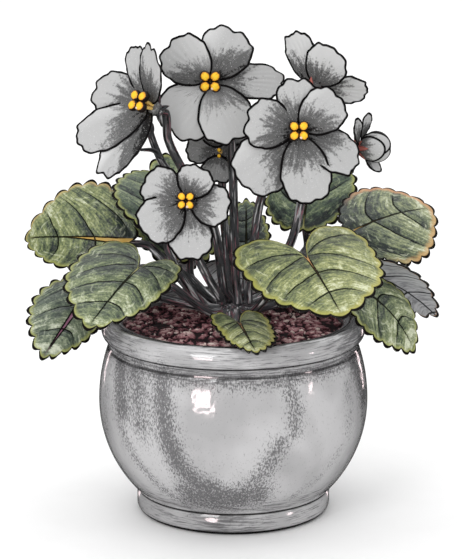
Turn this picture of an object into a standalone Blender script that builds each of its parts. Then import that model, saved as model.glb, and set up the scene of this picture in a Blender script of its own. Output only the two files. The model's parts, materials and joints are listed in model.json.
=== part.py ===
"""Potted african violet: a turned ball pot, its soil, a rosette of scalloped leaves and the blooms.

Metres, +Z up. The origin is the centre of the pot's foot, on the surface that the pot stands on.
The front of the plant faces -Y.
"""

import math
from dataclasses import dataclass

import bmesh
import bpy
from mathutils import Matrix, Vector

# Distance kept between two pieces that touch on the real plant
GAP = 0.0003

# Pot, turned about Z
POT_SEGMENTS = 32
POT_WALL = 0.004
FLOOR_THICKNESS = 0.006
FOOT_BOTTOM_RADIUS = 0.0375
FOOT_RADIUS = 0.0405
FOOT_ROUND = 0.003
GROOVE_RADIUS = 0.0401
GROOVE_HEIGHT = 0.0092
BELLY_RADIUS = 0.0562
BELLY_HEIGHT = 0.0475
NECK_RADIUS = 0.0520
NECK_HEIGHT = 0.0715
RIM_RADIUS = 0.0500
RIM_HEIGHT = 0.0780
RIM_ROLL = 0.0050
POT_MOUTH_RADIUS = RIM_RADIUS - RIM_ROLL
RIM_SWEEP = (170, -48)
OUTSIDE_HEIGHTS = (NECK_HEIGHT, 0.0650, 0.0565, BELLY_HEIGHT, 0.0365, 0.0260, 0.0165)
INSIDE_HEIGHTS = (0.0140, 0.0250, BELLY_HEIGHT, 0.0610, 0.0705)
INSIDE_MOUTH_HEIGHT = 0.0765
INSIDE_FLOOR_RADIUS = 0.0321
FOOT_STEP = 0.0012

# Soil
SOIL_EDGE_HEIGHT = 0.0792
SOIL_CENTRE_HEIGHT = 0.0820
SOIL_CRUMB = 0.0007
SOIL_RINGS = 4

# Crown: the short stem that carries the leaf stalks and the flower stalks
CROWN_RADIUS = 0.0090
CROWN_BOTTOM = 0.0700
CROWN_TOP = 0.0885
CROWN_SIDES = 20
PETIOLE_START_HEIGHT = 0.0852
PETIOLE_INSIDE = 0.0030
PETIOLE_CLEAR = 0.0120
PETIOLE_RISE = 0.0012
PETIOLE_RADIUS = 0.0020
PETIOLE_TIP_RADIUS = 0.0015
PETIOLE_LEAD = 0.0060
PETIOLE_LEAD_DROP = 0.0022
PETIOLE_REACH = 0.0025

# Leaf blades
BLADE_THICKNESS = 0.0008
SCALLOPS = 21
SCALLOP_DEPTH = 0.0014
TIP_LENGTH = 0.09
TIP_SPREAD = 0.38
NOTCH_SPREAD = 0.34
SHOULDER_ANGLE = 0.75
SHOULDER_SPREAD = 0.45
CUP = 0.35

# Flowers
STALK_RADIUS = 0.0019
BRANCH_RADII = (0.0017, 0.0015)
BRACT_RADII = (0.0014, 0.0008)
PETAL_THICKNESS = 0.0007
PETAL_CORNERS = 10
SMALL_PETAL_CORNERS = 8
PETAL_LAYER = 0.0009
THROAT_RADIUS = 0.0034
THROAT_FRONT = 0.0006
THROAT_BACK = -0.0025
PETAL_START = 0.0016
CALYX_RADIUS = 0.0029
CALYX_DEPTH = 0.0034
SEPAL_LENGTH = 0.0070
SEPAL_WIDTH = 0.0027
SEPAL_DROP = 0.0011
SEPALS = 5
SEPAL_LIFT = 9
RED_SEPAL_LIFT = 20
STALK_TAPER = 0.92
STALK_RISE = 0.0018
STALK_LEAD = 0.0040
STALK_SINK = 0.0006
COLUMN_RADII = (0.0010, 0.0012)
LOBE_WIDTH = 0.85
LOBE_DEPTH = 0.75
LOBE_OUT = 1.2

Point = tuple[float, float, float]


@dataclass(frozen=True)
class Leaf:
    """A blade: where its stalk meets it, how it is turned, and its shape (degrees and metres)."""

    name: str
    base: Point
    heading: float
    pitch: float
    roll: float
    length: float
    width: float
    bend: float
    notch: float
    lean: float = 0.0
    lobes: float = 0.0


@dataclass(frozen=True)
class Petal:
    """A petal: its direction round the bloom, its lift out of the bloom's plane, size and layer."""

    angle: float
    lift: float
    length: float
    width: float
    layer: float = 0.0
    bend: float = 14.0
    twist: float = 0.0
    point: float = 0.0


@dataclass(frozen=True)
class Bloom:
    """An open flower: its throat, the way it faces, its petals and the route of its stalk."""

    name: str
    centre: Point
    facing: Point
    petals: tuple[Petal, ...]
    stalk: tuple[Point, ...]
    lobes: int = 4
    lobe_size: float = 0.0023
    anther_height: float = 0.0045
    corners: int = PETAL_CORNERS


LEAVES = (
    Leaf("upper_left", (-0.0406, 0.0120, 0.1110), 180, 8, -67, 0.0571, 0.0405, 60, 0.08, -0.30),
    Leaf("front_left", (-0.0377, -0.0212, 0.1093), 243, -13, -19, 0.0442, 0.0419, 24, 0.31, -0.23, 0.045),
    Leaf("low_left", (-0.0572, -0.0060, 0.0974), 245, -21, -29, 0.0465, 0.0306, 18, 0.10, -0.21),
    Leaf("front_right", (0.0290, -0.0353, 0.1170), 292, -19, 8, 0.0403, 0.0563, 13, 0.39, 0.07, 0.085),
    Leaf("front_small", (0.0024, -0.0312, 0.0878), 282, -5, 3, 0.0339, 0.0232, 4, 0.36, 0.16, 0.115),
    Leaf("upper_right", (0.0470, 0.0162, 0.1136), 18, 25, 32, 0.0443, 0.0485, 37, 0.02, -0.08, 0.021),
    Leaf("low_right", (0.0491, -0.0050, 0.0976), -23, -20, 19, 0.0405, 0.0352, 59, 0.08, 0.03),
    Leaf("turned_right", (0.0497, 0.0085, 0.1011), 22, -15, -41, 0.0438, 0.0340, 44, 0.18),
    Leaf("standing_left", (-0.0254, 0.0031, 0.1170), 98, 48, 20, 0.0460, 0.0455, 49, 0.10),
    Leaf("standing_rear", (-0.0173, 0.0206, 0.1006), 111, 60, -2, 0.0533, 0.0380, 20, 0.06, 0.16, 0.031),
    Leaf("standing_middle", (0.0055, 0.0215, 0.1000), 90, 57, 0, 0.0330, 0.0215, 25, 0.14),
    Leaf("standing_right", (0.0296, 0.0359, 0.1094), 79, 67, -15, 0.0462, 0.0436, 50, 0.02, 0.05, 0.022),
    Leaf("rear_left", (-0.0260, 0.0300, 0.0980), 132, -18, 0, 0.0440, 0.0400, 40, 0.20),
    Leaf("rear", (0.0010, 0.0380, 0.0980), 89, -18, 0, 0.0420, 0.0305, 40, 0.20),
    Leaf("rear_right", (0.0290, 0.0265, 0.0925), 52, -12, 0, 0.0430, 0.0360, 40, 0.20),
)

# Where each flower stalk stands on the crown
STALK_FEET = {
    "low": (-0.0052, -0.0034),
    "left": (-0.0020, 0.0008),
    "top": (0.0019, -0.0022),
    "right": (0.0062, -0.0010),
    "far_right": (0.0042, 0.0036),
    "shaded": (-0.0005, 0.0054),
}

BLOOMS = (
    Bloom(
        "left",
        (-0.0330, -0.0140, 0.1736),
        (-0.580, -0.705, 0.408),
        (
            Petal(119, 23, 0.0266, 0.0117, 0.2, bend=16),
            Petal(72, 37, 0.0281, 0.0168, 1.5, bend=1, twist=-11),
            Petal(172, 20, 0.0277, 0.0193, 1, twist=12),
            Petal(-138, 25, 0.0345, 0.0184, -0.2, bend=12, twist=-7),
            Petal(-103, 21, 0.0358, 0.0176, -1.6, bend=6, twist=10),
        ),
        (
            (-0.0039, -0.0010, 0.0941),
            (-0.0075, -0.0030, 0.1192),
            (-0.0125, -0.0045, 0.1309),
            (-0.0206, -0.0065, 0.1460),
            (-0.0266, -0.0070, 0.1590),
        ),
        lobe_size=0.0020,
        anther_height=0.0085,
    ),
    Bloom(
        "top",
        (-0.0092, 0.0040, 0.1806),
        (-0.05, -0.97, 0.22),
        (
            Petal(139, 17, 0.0238, 0.0222, 0),
            Petal(66, 8, 0.0247, 0.0230, 2),
            Petal(1, 5, 0.0305, 0.0170, 0, bend=20),
            Petal(-69, 10, 0.0270, 0.0208, -1),
            Petal(-129, 9, 0.0271, 0.0249, 1),
        ),
        (
            (0.0011, -0.0010, 0.0983),
            (0.0003, 0.0010, 0.1234),
            (-0.0007, 0.0050, 0.1545),
            (-0.0030, 0.0115, 0.1680),
            (-0.0065, 0.0160, 0.1765),
        ),
    ),
    Bloom(
        "right",
        (0.0260, -0.0220, 0.1649),
        (0.05, -0.96, 0.27),
        (
            Petal(166, 13, 0.0224, 0.0208, 0),
            Petal(91, 16, 0.0221, 0.0175, 1),
            Petal(39, 19, 0.0225, 0.0190, 2),
            Petal(-27, 12, 0.0272, 0.0200, 0),
            Petal(-81, 9, 0.0300, 0.0208, 2),
            Petal(-140, 2, 0.0322, 0.0249, 1),
        ),
        (
            (0.0060, -0.0025, 0.0988),
            (0.0088, -0.0050, 0.1180),
            (0.0113, -0.0075, 0.1343),
            (0.0170, -0.0090, 0.1468),
            (0.0230, -0.0100, 0.1555),
        ),
    ),
    Bloom(
        "far_right",
        (0.0333, 0.0080, 0.1774),
        (0.346, 0.867, 0.359),
        (
            Petal(68, 19, 0.0251, 0.0149, -1, bend=6),
            Petal(120, 12, 0.0219, 0.0189, 0, bend=10, twist=-13),
            Petal(195, 26, 0.0227, 0.0134, 0, bend=7),
            Petal(262, 30, 0.0150, 0.0140, 1),
            Petal(318, 34, 0.0140, 0.0130, 0),
        ),
        (
            (0.0120, 0.0040, 0.0950),
            (0.0231, 0.0030, 0.1115),
            (0.0278, 0.0030, 0.1293),
            (0.0304, 0.0020, 0.1462),
            (0.0312, 0.0000, 0.1610),
        ),
    ),
    Bloom(
        "low",
        (-0.0188, -0.0300, 0.1379),
        (-0.05, -0.95, 0.30),
        (
            Petal(152, 12, 0.0197, 0.0174, 1),
            Petal(67, 15, 0.0155, 0.0158, 2),
            Petal(-8, 9, 0.0181, 0.0174, 1),
            Petal(-83, 9, 0.0241, 0.0183, -1),
            Petal(-144, 15, 0.0222, 0.0195, 0),
        ),
        (
            (-0.0059, -0.0060, 0.0930),
            (-0.0104, -0.0120, 0.1020),
            (-0.0148, -0.0175, 0.1131),
            (-0.0172, -0.0200, 0.1245),
        ),
        lobe_size=0.0018,
    ),
    Bloom(
        "shaded",
        (-0.0051, 0.0140, 0.1498),
        (-0.15, -0.97, 0.05),
        (
            Petal(175, 10, 0.0150, 0.0130, 0),
            Petal(-99, 10, 0.0135, 0.0140, 1),
            Petal(109, 5, 0.0150, 0.0125, 1),
            Petal(-17, 5, 0.0150, 0.0125, 0),
            Petal(47, 5, 0.0150, 0.0125, -1),
        ),
        (
            (-0.0014, 0.0070, 0.0940),
            (-0.0031, 0.0140, 0.1119),
            (-0.0047, 0.0215, 0.1320),
        ),
        lobes=2,
        lobe_size=0.0011,
        corners=SMALL_PETAL_CORNERS,
    ),
)

# The bloom whose reddish calyx is a piece of its own
RED_CALYX_BLOOM = "far_right"

# Bud at the right, on a branch of the far right stalk
BUD_BASE = (0.0502, -0.0050, 0.1550)
BUD_FACING = (0.993, -0.080, 0.090)
BUD_RADIUS = 0.0061
BUD_CENTRE_AHEAD = 0.0084
BUD_THROAT = ((0.0016, GAP), (0.0026, 0.0022))
BUD_LEAD = 0.0030
BUD_OUTER_BASE = 0.0012
BUD_WRAP_THICKNESS = 0.0024
BUD_WRAP_SINK = 0.0007
BUD_WRAP_LAYER = 0.0003
BUD_WRAPS = (
    Petal(180, 0, 0.0131, 0.0124, 3),
    Petal(78, 0, 0.0178, 0.0150, 2),
    Petal(-66, 0, 0.0172, 0.0150, 1),
    Petal(5, 0, 0.0165, 0.0150, 0),
)
BUD_OUTER = (
    Petal(91, 25, 0.0151, 0.0074, twist=-62, point=0.5),
    Petal(124, 6, 0.0155, 0.0072, twist=-62, point=0.5),
    Petal(-84, 38, 0.0142, 0.0069, twist=70, point=0.5),
)
BUD_SEPALS = ((180, 34), (245, 4), (324, 8), (36, 8), (150, 2))
BUD_BRANCH = (
    (0.0298, 0.0020, 0.1400),
    (0.0345, 0.0020, 0.1480),
    (0.0395, -0.0015, 0.1555),
)

# Young bud behind the left bloom and a red-tipped bract, on a second branch of the left stalk
YOUNG_BUD_BRANCH = (
    (-0.0165, -0.0055, 0.1385),
    (-0.0240, -0.0045, 0.1430),
    (-0.0285, -0.0035, 0.1475),
    (-0.0320, -0.0015, 0.1545),
    (-0.0346, -0.0003, 0.1620),
)
YOUNG_BUD_RADIUS = 0.0023
BRACT = ((-0.0295, -0.0030, 0.1500), (-0.0325, -0.0035, 0.1535), (-0.0380, -0.0040, 0.1540))

# Colours as (red, green, blue), roughness
GLAZE = ("glaze", (0.42, 0.42, 0.42), 0.15)
SOIL = ("soil", (0.070, 0.027, 0.030), 0.95)
STEM = ("stem", (0.110, 0.112, 0.115), 0.55)
LEAF = ("leaf", (0.130, 0.180, 0.070), 0.55)
PETAL = ("petal", (0.480, 0.480, 0.490), 0.60)
RED_CALYX = ("red_calyx", (0.260, 0.070, 0.060), 0.55)
ANTHER = ("anther", (0.900, 0.560, 0.060), 0.50)


def collection(name: str) -> bpy.types.Collection:
    """A new collection in the scene."""
    made = bpy.data.collections.new(name)
    bpy.context.scene.collection.children.link(made)
    return made


def material(look: tuple) -> bpy.types.Material:
    """The Principled material of one look, made once."""
    name, colour, roughness = look
    if name in bpy.data.materials:
        return bpy.data.materials[name]
    made = bpy.data.materials.new(name)
    made.use_nodes = True
    shader = made.node_tree.nodes["Principled BSDF"]
    shader.inputs["Base Color"].default_value = (*colour, 1.0)
    shader.inputs["Roughness"].default_value = roughness
    return made


def place(name: str, mesh: bpy.types.Mesh, look: tuple, group: bpy.types.Collection) -> bpy.types.Object:
    """An object of a mesh, with its material, in a collection."""
    mesh.materials.clear()
    mesh.materials.append(material(look))
    made = bpy.data.objects.new(name, mesh)
    group.objects.link(made)
    return made


def mesh_of(obj: bpy.types.Object) -> bpy.types.Mesh:
    """The mesh of an object with its modifiers applied."""
    bpy.context.view_layer.update()
    return bpy.data.meshes.new_from_object(obj.evaluated_get(bpy.context.evaluated_depsgraph_get()))


def fuse(name: str, pieces: list, look: tuple, group: bpy.types.Collection) -> bpy.types.Object:
    """One body from closed pieces that cross each other."""
    first, *others = pieces
    joined = collection(name + "_pieces")
    for piece in others:
        group.objects.unlink(piece)
        joined.objects.link(piece)
    union = first.modifiers.new("fuse", "BOOLEAN")
    union.operation = "UNION"
    union.operand_type = "COLLECTION"
    union.collection = joined
    union.solver = "MANIFOLD"
    mesh = mesh_of(first)
    for piece in pieces:
        bpy.data.objects.remove(piece)
    bpy.data.collections.remove(joined)
    return place(name, mesh, look, group)


def arc(centre: tuple, radius: float, start: float, end: float, steps: int) -> list:
    """Points along an arc in the profile's plane, angles in degrees from +X."""
    angles = [math.radians(start + (end - start) * step / steps) for step in range(steps + 1)]
    return [(centre[0] + radius * math.cos(angle), centre[1] + radius * math.sin(angle)) for angle in angles]


def turned(name: str, profile: list, look: tuple, group: bpy.types.Collection) -> bpy.types.Object:
    """A solid turned about Z from a profile that starts and ends on the axis."""
    mesh = bpy.data.meshes.new(name)
    edges = [(index, index + 1) for index in range(len(profile) - 1)]
    mesh.from_pydata([(radius, 0.0, height) for radius, height in profile], edges, [])
    made = place(name, mesh, look, group)
    screw = made.modifiers.new("turn", "SCREW")
    screw.steps = screw.render_steps = POT_SEGMENTS
    screw.use_merge_vertices = True
    screw.merge_threshold = 0.00005
    return made


def belly(height: float) -> float:
    """Outer radius of the pot between the groove and the neck: two half ellipses."""
    end_radius, end_height = NECK_RADIUS, NECK_HEIGHT
    if height < BELLY_HEIGHT:
        end_radius, end_height = GROOVE_RADIUS, GROOVE_HEIGHT
    reach = (end_height - BELLY_HEIGHT) / math.sqrt(1 - (end_radius / BELLY_RADIUS) ** 2)
    return BELLY_RADIUS * math.sqrt(1 - ((height - BELLY_HEIGHT) / reach) ** 2)


def inner_wall() -> list:
    """The pot's inside from the floor to the mouth, as (radius, height)."""
    wall = [(belly(height) - POT_WALL, height) for height in INSIDE_HEIGHTS]
    return [(INSIDE_FLOOR_RADIUS, FLOOR_THICKNESS), *wall, (POT_MOUTH_RADIUS, INSIDE_MOUTH_HEIGHT)]


def build_pot(group: bpy.types.Collection) -> bpy.types.Object:
    """The glazed pot: foot, groove, belly, neck and rolled rim."""
    rim = arc((RIM_RADIUS, RIM_HEIGHT), RIM_ROLL, *RIM_SWEEP, 8)
    outside = [(belly(height), height) for height in OUTSIDE_HEIGHTS]
    foot = arc((FOOT_RADIUS - FOOT_ROUND, FOOT_ROUND), FOOT_ROUND, 0, -90, 2)
    profile = [(0, FLOOR_THICKNESS), *inner_wall(), *rim, *outside, (GROOVE_RADIUS, GROOVE_HEIGHT)]
    profile += [(FOOT_RADIUS, GROOVE_HEIGHT - FOOT_STEP), *foot, (0, 0)]
    return turned("pot", profile, GLAZE, group)


def crumb(x: float, y: float) -> float:
    """Height of the soil's lumps at a place."""
    return SOIL_CRUMB * (math.sin(520 * x + 0.7) * math.cos(470 * y) + 0.5 * math.sin(910 * (x + y)))


def build_soil(group: bpy.types.Collection) -> bpy.types.Object:
    """The soil that fills the pot, with a plain hole for the crown."""
    hole = CROWN_RADIUS + GAP
    bottom = CROWN_BOTTOM - GAP
    (floor_radius, floor_height), *wall = inner_wall()
    floor_height += GAP
    side = [(floor_radius - GAP, floor_height), *[(radius - GAP, height) for radius, height in wall]]
    edge = POT_MOUTH_RADIUS - GAP
    rings = [hole + (edge - hole) * ring / SOIL_RINGS for ring in range(SOIL_RINGS + 1)]
    drop = SOIL_CENTRE_HEIGHT - SOIL_EDGE_HEIGHT
    top = [(radius, SOIL_CENTRE_HEIGHT - drop * (radius / edge) ** 2) for radius in rings]
    profile = [(0, bottom), (hole, bottom), *top, *reversed(side), (0, floor_height)]
    rough = turned("soil_rough", profile, SOIL, group)
    mesh = mesh_of(rough)
    bpy.data.objects.remove(rough)
    for vertex in mesh.vertices:
        if vertex.co.z > INSIDE_MOUTH_HEIGHT + GAP:
            vertex.co.z += crumb(vertex.co.x, vertex.co.y)
    return place("soil", mesh, SOIL, group)


def smooth_route(points: list, steps: int) -> list:
    """Points along a smooth curve through the given ones."""
    places = [Vector(point) for point in points]
    before = [places[0], *places[:-1]]
    after = [*places[1:], places[-1]]
    ways = [(later - earlier).normalized() for earlier, later in zip(before, after)]
    route = [places[0]]
    for (start, end), (leave, arrive) in zip(zip(places, places[1:]), zip(ways, ways[1:])):
        reach = (end - start).length / 3
        first, second = start + leave * reach, end - arrive * reach
        for step in range(1, steps + 1):
            t = step / steps
            left, middle, right = start.lerp(first, t), first.lerp(second, t), second.lerp(end, t)
            route.append(left.lerp(middle, t).lerp(middle.lerp(right, t), t))
    return route


def tube(name: str, route: list, radii: tuple, look: tuple, group: bpy.types.Collection) -> bpy.types.Object:
    """A closed round stem along a route, tapering from its first radius to its last."""
    curve = bpy.data.curves.new(name, "CURVE")
    curve.dimensions = "3D"
    curve.bevel_depth = radii[0]
    curve.bevel_resolution = 2
    curve.use_fill_caps = True
    spline = curve.splines.new("POLY")
    spline.points.add(len(route) - 1)
    for index, (point, place_on_route) in enumerate(zip(spline.points, route)):
        point.co = (*place_on_route, 1.0)
        point.radius = 1 + (radii[1] / radii[0] - 1) * index / (len(route) - 1)
    drawn = bpy.data.objects.new(name, curve)
    group.objects.link(drawn)
    mesh = mesh_of(drawn)
    bpy.data.objects.remove(drawn)
    bm = bmesh.new()
    bm.from_mesh(mesh)
    bmesh.ops.remove_doubles(bm, verts=bm.verts, dist=0.00001)
    bmesh.ops.recalc_face_normals(bm, faces=bm.faces)
    bm.to_mesh(mesh)
    bm.free()
    return place(name, mesh, look, group)


def thick(
    bm: bmesh.types.BMesh, name: str, thickness: float, look: tuple, group: bpy.types.Collection
) -> bpy.types.Object:
    """A closed sheet from an open surface, triangulated alike on both faces."""
    bmesh.ops.triangulate(bm, faces=bm.faces)
    mesh = bpy.data.meshes.new(name)
    bm.to_mesh(mesh)
    bm.free()
    made = place(name, mesh, look, group)
    solidify = made.modifiers.new("thickness", "SOLIDIFY")
    solidify.thickness = thickness
    solidify.offset = 0
    return made


def leaf_frame(leaf: Leaf) -> Matrix:
    """Place and turn of a blade: +X towards its tip, +Z out of its upper face."""
    turn = Matrix.Rotation(math.radians(leaf.heading), 4, "Z")
    turn @= Matrix.Rotation(-math.radians(leaf.pitch), 4, "Y")
    turn @= Matrix.Rotation(math.radians(leaf.roll), 4, "X")
    return Matrix.Translation(leaf.base) @ turn


def leaf_point(leaf: Leaf, angle: float, reach: float, toothed: bool) -> Vector:
    """A point of a blade in its own frame, from a place on a unit disc (0 degrees is the tip)."""
    around = abs(math.remainder(angle, 2 * math.pi))
    back = math.pi - around
    shoulder = 0.25 * (leaf.notch - 0.12) + leaf.lobes
    radius = 0.5 + TIP_LENGTH * math.exp(-((around / TIP_SPREAD) ** 2))
    radius += shoulder * math.exp(-(((back - SHOULDER_ANGLE) / SHOULDER_SPREAD) ** 2))
    radius -= leaf.notch * math.exp(-((back / NOTCH_SPREAD) ** 2))
    centre = 0.5 + shoulder * math.exp(-((SHOULDER_ANGLE / SHOULDER_SPREAD) ** 2)) - leaf.notch
    scale = leaf.length / (centre + 0.5 + TIP_LENGTH)
    if toothed:
        radius -= SCALLOP_DEPTH / leaf.width * (1 - abs(math.cos(SCALLOPS * angle / 2)) ** 0.8)
    x = (centre + reach * radius * math.cos(angle)) * scale
    y = reach * radius * math.sin(angle) * leaf.width
    y *= 1 + leaf.lean * math.copysign(1, y)
    sag = -CUP * leaf.width * (abs(y) / (leaf.width / 2)) ** 2 / 4
    curl = math.radians(leaf.bend) / leaf.length
    turn = curl * x
    curled_x = math.sin(turn) / curl + sag * math.sin(turn)
    curled_z = (math.cos(turn) - 1) / curl + sag * math.cos(turn)
    return Vector((curled_x, y, curled_z))


def disc(rings: tuple, corners: int, cuts: int) -> bmesh.types.BMesh:
    """A unit disc of rings of faces, its outer edges cut into more points.

    Its corners lie half a step to either side of +X.
    """
    bm = bmesh.new()
    turn = Matrix.Rotation(math.pi / corners - math.pi / 2, 4, "Z")
    bmesh.ops.create_circle(bm, cap_ends=True, cap_tris=True, segments=corners, radius=rings[0], matrix=turn)
    for inner, outer in zip(rings, rings[1:]):
        boundary = [edge for edge in bm.edges if edge.is_boundary]
        grown = bmesh.ops.extrude_edge_only(bm, edges=boundary)
        verts = [item for item in grown["geom"] if isinstance(item, bmesh.types.BMVert)]
        bmesh.ops.scale(bm, vec=(outer / inner, outer / inner, 1), verts=verts)
    if cuts:
        boundary = [edge for edge in bm.edges if edge.is_boundary]
        bmesh.ops.subdivide_edges(bm, edges=boundary, cuts=cuts)
    return bm


def build_blade(leaf: Leaf, group: bpy.types.Collection) -> bpy.types.Object:
    """One scalloped, cupped leaf blade."""
    bm = disc((0.5, 1.0), SCALLOPS, 1)
    frame = leaf_frame(leaf)
    rim = {vert for vert in bm.verts if vert.is_boundary}
    for vert in bm.verts:
        angle = math.atan2(vert.co.y, vert.co.x)
        reach = 1.0 if vert in rim else vert.co.xy.length
        vert.co = frame @ leaf_point(leaf, angle, reach, vert in rim)
    bmesh.ops.recalc_face_normals(bm, faces=bm.faces)
    return thick(bm, "blade_" + leaf.name, BLADE_THICKNESS, LEAF, group)


def petiole_route(leaf: Leaf) -> list:
    """From inside the crown to just under the blade, at its base."""
    heading = math.atan2(leaf.base[1], leaf.base[0])
    out = Vector((math.cos(heading), math.sin(heading), 0.0))
    start = out * PETIOLE_INSIDE + Vector((0, 0, PETIOLE_START_HEIGHT))
    leave = out * PETIOLE_CLEAR + Vector((0, 0, PETIOLE_START_HEIGHT + PETIOLE_RISE))
    frame = leaf_frame(leaf)
    under = BLADE_THICKNESS / 2 + GAP + PETIOLE_TIP_RADIUS
    near = frame @ Vector((-PETIOLE_LEAD, 0, -under - PETIOLE_LEAD_DROP))
    end = frame @ Vector((PETIOLE_REACH, 0, -under - GAP))
    return smooth_route([start, leave, near, end], 2)


def build_crown(group: bpy.types.Collection) -> bpy.types.Object:
    """The short stem in the soil and the leaf stalks that grow from it."""
    bm = bmesh.new()
    middle = Matrix.Translation((0, 0, (CROWN_BOTTOM + CROWN_TOP) / 2))
    height = CROWN_TOP - CROWN_BOTTOM
    radius = CROWN_RADIUS
    bmesh.ops.create_cone(
        bm, cap_ends=True, segments=CROWN_SIDES, radius1=radius, radius2=radius, depth=height, matrix=middle
    )
    mesh = bpy.data.meshes.new("crown_stem")
    bm.to_mesh(mesh)
    bm.free()
    pieces = [place("crown_stem", mesh, STEM, group)]
    for leaf in LEAVES:
        radii = (PETIOLE_RADIUS, PETIOLE_TIP_RADIUS)
        pieces.append(tube("petiole_" + leaf.name, petiole_route(leaf), radii, STEM, group))
    return fuse("crown", pieces, STEM, group)


def bloom_frame(centre: Point, facing: Point) -> Matrix:
    """Place and turn of a bloom: +Z the way it faces, +Y as near to up as that allows."""
    ahead = Vector(facing).normalized()
    up = (Vector((0, 0, 1)) - ahead * ahead.z).normalized()
    right = up.cross(ahead)
    turn = Matrix((right, up, ahead)).transposed().to_4x4()
    return Matrix.Translation(centre) @ turn


def petal_point(petal: Petal, angle: float, reach: float) -> Vector:
    """A point of a petal in its bloom's frame, from a place on a unit disc (0 degrees is the tip)."""
    along = (1 + reach * math.cos(angle)) / 2
    across = 1.10 * reach * math.sin(angle) * (0.90 + 0.17 * reach * math.cos(angle))
    across *= 1 - petal.point * along**2
    notch = 0.035 * reach**4 * math.exp(-((math.remainder(angle, 2 * math.pi) / 0.22) ** 2))
    ruffle = 1 + 0.018 * reach**3 * math.cos(9 * angle + petal.angle)
    x = PETAL_START + petal.length * (along - notch) * ruffle - PETAL_START * along
    y = petal.width / 2 * across * ruffle
    curl = math.radians(petal.bend) / petal.length
    turn = curl * x
    wave = 0.0004 * reach**2 * math.sin(3 * angle + petal.angle)
    z = (math.cos(turn) - 1) / curl + wave * along - 0.10 * abs(y) * across * along
    flat = Matrix.Rotation(math.radians(petal.twist * along), 3, "X") @ Vector((math.sin(turn) / curl, y, z))
    lifted = Matrix.Rotation(-math.radians(petal.lift), 3, "Y") @ flat
    lifted.z += petal.layer * PETAL_LAYER * min(1.0, 0.3 + 2 * along)
    return Matrix.Rotation(math.radians(petal.angle), 3, "Z") @ lifted


def build_petal(
    name: str, petal: Petal, frame: Matrix, corners: int, group: bpy.types.Collection
) -> bpy.types.Object:
    """One closed petal of a bloom."""
    bm = disc((0.55, 1.0), corners, 0)
    for vert in bm.verts:
        vert.co = frame @ petal_point(petal, math.atan2(vert.co.y, vert.co.x), vert.co.xy.length)
    bmesh.ops.recalc_face_normals(bm, faces=bm.faces)
    return thick(bm, name, PETAL_THICKNESS, PETAL, group)


def cone(
    name: str, frame: Matrix, ends: tuple, look: tuple, group: bpy.types.Collection, segments: int = 12
) -> bpy.types.Object:
    """A closed cone between two ends in a frame, each given as (radius, height)."""
    low, high = ends
    bm = bmesh.new()
    middle = frame @ Matrix.Translation((0, 0, (low[1] + high[1]) / 2))
    depth = high[1] - low[1]
    bmesh.ops.create_cone(
        bm, cap_ends=True, segments=segments, radius1=low[0], radius2=high[0], depth=depth, matrix=middle
    )
    mesh = bpy.data.meshes.new(name)
    bm.to_mesh(mesh)
    bm.free()
    return place(name, mesh, look, group)


def build_corolla(bloom: Bloom, group: bpy.types.Collection) -> bpy.types.Object:
    """The petals of a bloom, fused at the throat."""
    frame = bloom_frame(bloom.centre, bloom.facing)
    ends = ((CALYX_RADIUS - GAP, THROAT_BACK), (THROAT_RADIUS, THROAT_FRONT))
    pieces = [cone("throat_" + bloom.name, frame, ends, PETAL, group)]
    for number, petal in enumerate(bloom.petals):
        pieces.append(build_petal(f"petal_{bloom.name}_{number}", petal, frame, bloom.corners, group))
    return fuse("petals_" + bloom.name, pieces, PETAL, group)


def build_calyx(
    name: str, frame: Matrix, top: float, sepals: tuple, look: tuple, group: bpy.types.Collection
) -> list:
    """The cup behind the petals with its sepals, given as (direction, lift) in degrees."""
    ends = ((STALK_RADIUS, top - CALYX_DEPTH), (CALYX_RADIUS, top))
    pieces = [cone(name + "_cup", frame, ends, look, group, segments=10)]
    for number, (angle, lift) in enumerate(sepals):
        bm = disc((1.0,), 5, 0)
        turn = Matrix.Rotation(math.radians(angle), 3, "Z") @ Matrix.Rotation(-math.radians(lift), 3, "Y")
        for vert in bm.verts:
            x = SEPAL_LENGTH * (1 + vert.co.x) / 2
            y = SEPAL_WIDTH / 2 * vert.co.y
            vert.co = turn @ Vector((x, y, 0)) + Vector((0, 0, top - SEPAL_DROP))
        bmesh.ops.transform(bm, matrix=frame, verts=bm.verts)
        pieces.append(thick(bm, f"{name}_sepal_{number}", PETAL_THICKNESS, look, group))
    return pieces


def stalk_route(foot: tuple, route: tuple, end: Vector, facing: Vector) -> list:
    """From the crown's top through the route's own points to the back of a calyx."""
    start = Vector((*foot, CROWN_TOP + GAP))
    rise = start + Vector((0, 0, STALK_RISE))
    lead = end - facing * STALK_LEAD
    return [start, rise, *[Vector(point) for point in route], lead, end]


def build_stalk(bloom: Bloom, group: bpy.types.Collection) -> None:
    """A bloom's stalk and calyx, with the branches of the left and far right stalks."""
    frame = bloom_frame(bloom.centre, bloom.facing)
    facing = Vector(bloom.facing).normalized()
    red = bloom.name == RED_CALYX_BLOOM
    top = THROAT_BACK - GAP
    back = top - CALYX_DEPTH + (-GAP if red else STALK_SINK)
    end = Vector(bloom.centre) + facing * back
    points = stalk_route(STALK_FEET[bloom.name], bloom.stalk, end, facing)
    radii = (STALK_RADIUS, STALK_RADIUS * STALK_TAPER)
    pieces = [tube("stem_" + bloom.name, smooth_route(points, 2), radii, STEM, group)]
    lift = RED_SEPAL_LIFT if red else SEPAL_LIFT
    sepals = tuple((90 + 360 / SEPALS * number, lift) for number in range(SEPALS))
    calyx = build_calyx("calyx_" + bloom.name, frame, top, sepals, RED_CALYX if red else STEM, group)
    if red:
        fuse("calyx_" + bloom.name, calyx, RED_CALYX, group)
        pieces.append(build_bud_branch(group))
    else:
        pieces += calyx
    if bloom.name == "left":
        pieces += build_young_bud(group)
    fuse("stalk_" + bloom.name, pieces, STEM, group)


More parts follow.
